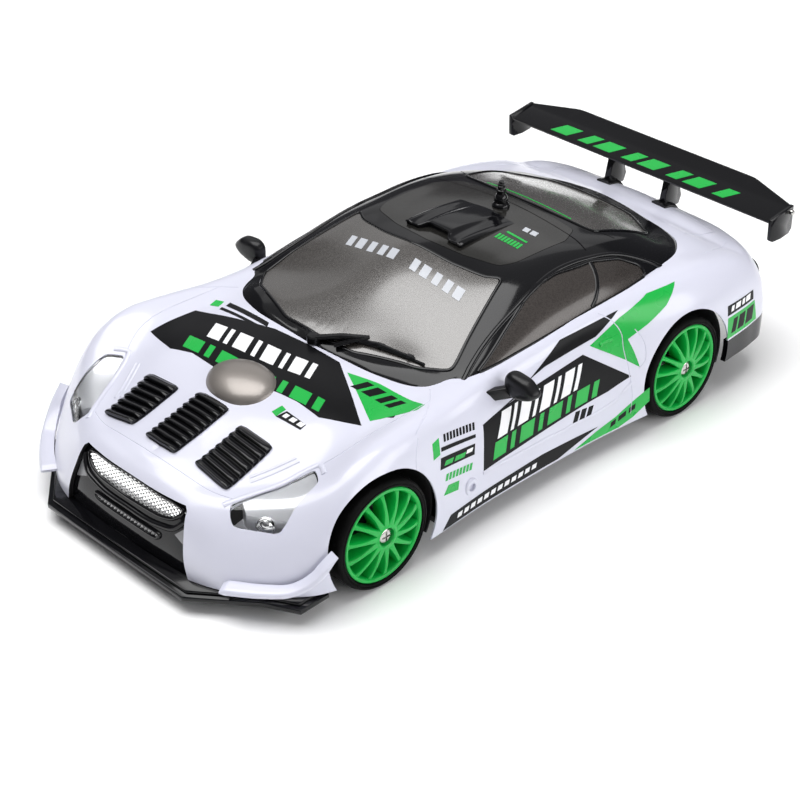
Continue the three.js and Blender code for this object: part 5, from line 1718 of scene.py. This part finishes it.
def wing_support():
    """A post from the tail to the blade, on a foot that follows the boot."""
    outline = [(-85.4, 33.6), (-92.4, 33.6), (-93.4, 36), (-91.2, 43.5), (-87.4, 42.9)]
    post = prism("post", outline, "xz", 9, 11, BLACK, bevel=0.25, segments=3)
    section = [(7.6, -0.3), (12.4, -0.3), (12.4, 0.5), (11.4, 1.0), (8.6, 1.0), (7.6, 0.5)]
    rings = []
    for i in range(9):
        x = lerp(-84.4, -91.6, i / 8)
        ring = []
        for y, lift in section:
            found = BODY_SKIN.drop("top", x, y)
            ring.append(Vector((x, y, (found[0].z if found else 33.0) + lift)))
        rings.append(ring)
    foot = loft("foot", rings, BLACK, bevel=0.15)
    return combine("wing_support_post", [post, foot])


pair("wing_support_post", wing_support(), "wing_support")


def rear_panel():
    """The black lower tail, with five fins and a tray."""
    panel = BODY_SKIN.solid("rear_valance", 1.5, BLACK, lift=0.02)
    below = [(-100, 10.2), (-60, 9.8), (-60, 15.88), (-100, 16.68)]
    boolean(panel, prism("below", below, "xz", -60, 60), "INTERSECT")
    for y in (30, -60):
        boolean(panel, arch_rod(REAR_AXLE_X, y))
    BODY_SKIN.shade(panel, reach=0.2)
    parts = [panel]
    for y in (-18, -9, 0, 9, 18):
        fin = [(-92.6, 9.4), (-92.9, 13.6), (-85, 13.8), (-84, 9.2), (-91, 9.0)]
        parts.append(prism("fin", fin, "xz", y - 0.5, y + 0.5, BLACK, bevel=0.15))
    parts.append(box("tray", (-91.6, -24, 9.4), (-82, 24, 10.6), BLACK, bevel=0.3))
    return combine("rear_valance", parts)


ride(rear_panel(), replaces=["rear_diffuser"])


# Tail lamp profiles: (radius, distance forward from the skin).
TAIL_LENS = [
    (0, 3.0), (3.4, 3.0), (3.4, 0.2), (3.1, -0.25), (2.6, -0.1), (2.3, 0.15), (1.9, -0.15),
    (1.5, 0.1), (1.1, -0.35), (0, -0.6),
]
TAIL_BEZEL = [
    (3.35, 2.0), (3.35, -0.2), (3.6, -0.45), (4.0, -0.35), (4.15, 0.1), (4.15, 2.0), (3.35, 2.0),
]


def tail_lamp():
    """Two round red lenses in black bezels."""
    parts = []
    for y, z in TAIL_LAMPS:
        x = BODY_SKIN.drop("rear", y, z)[0].x
        parts.append(turned("lens", TAIL_LENS, "x", (x, y, z), RED, sides=40))
        parts.append(turned("bezel", TAIL_BEZEL, "x", (x, y, z), BLACK, sides=40))
    return combine("tail_lamp_pair", parts)


pair("tail_lamp_pair", tail_lamp(), "tail_light")


# ---- plain materials on the CAD pieces that stay in view ----
KEPT = {
    STEEL: [
        "rear_axle", "front_driveshaft", "stub_axle_left", "stub_axle_right", "center_driveshaft",
        "motor_pinion", "drive_motor",
    ],
    NYLON: [
        "front_gearbox", "rear_gearbox", "knuckle_left", "knuckle_right", "tie_rod",
        "steering_servo", "chassis_tub", "power_switch",
    ],
    WHITE: ["servo_horn"],
    CELL: ["battery_pack"],
    BOARD: ["circuit_board"],
}
for material, names in KEPT.items():
    for name in names:
        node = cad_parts[name]
        node.data.materials.clear()
        node.data.materials.append(material)

# ---- camera, floor and light ----
# The camera's angles in degrees, place in millimetres, lens and shift.
AZIMUTH, ELEVATION, ROLL = 45.36, 30.08, 0.5795
CAMERA_PLACE = (322.59, 322.54, 285.69)
LENS, SHIFT_X, SHIFT_Y = 92.03, -0.0043, -0.074
FLOOR_HALF = 6000


def aim_camera():
    """The photo's view."""
    a, e, r = (math.radians(x) for x in (AZIMUTH, ELEVATION, ROLL))
    back = Vector((math.cos(e) * math.cos(a), math.cos(e) * math.sin(a), math.sin(e)))
    right = Vector((-math.sin(a), math.cos(a), 0))
    up = back.cross(right)
    right, up = right * math.cos(r) + up * math.sin(r), up * math.cos(r) - right * math.sin(r)
    data = bpy.data.cameras.new("view")
    data.lens = LENS
    data.sensor_width = 36
    data.shift_x = SHIFT_X
    data.shift_y = SHIFT_Y
    camera = bpy.data.objects.new("view", data)
    turn = Matrix((right, up, back)).transposed().to_4x4()
    camera.matrix_world = Matrix.Translation(Vector(CAMERA_PLACE) * MM) @ turn
    scene.collection.objects.link(camera)
    scene.camera = camera


def soft_light(name, place, target, size, power):
    """A rectangular lamp turned towards its target, in metres and watts."""
    data = bpy.data.lights.new(name, "AREA")
    data.shape = "RECTANGLE"
    data.size, data.size_y = size
    data.energy = power
    made = bpy.data.objects.new(name, data)
    made.location = place
    made.rotation_mode = "QUATERNION"
    aim = Vector(target) - Vector(place)
    made.rotation_quaternion = aim.to_track_quat("-Z", "Y")
    scene.collection.objects.link(made)


aim_camera()
pale = plastic("pale_floor", (0.97, 0.97, 0.97), 0.8, 0.005, 0, 0.02, 60, shine=0.1)
floor = box("floor", (-FLOOR_HALF, -FLOOR_HALF, -20), (FLOOR_HALF, FLOOR_HALF, -0.02), pale)
soft_light("key", (0.15, -0.22, 1.3), (0, 0, 0), (1.1, 1.5), 22)
soft_light("ceiling", (-0.2, 0.1, 1.5), (-0.2, 0.1, 0), (4.4, 4.4), 15)
soft_light("back", (-1.2, -1.2, 0.95), (0, 0, 0), (1.8, 0.8), 2)
soft_light("side", (-0.4, 1.3, 0.55), (0, 0, 0.02), (1.8, 0.5), 11)
world = bpy.data.worlds.new("studio")
scene.world = world
world.use_nodes = True
sky = world.node_tree.nodes["Background"]
sky.inputs["Color"].default_value = (0.92, 0.93, 1.0, 1)
sky.inputs["Strength"].default_value = 0.1
scene.view_settings.view_transform = "Standard"
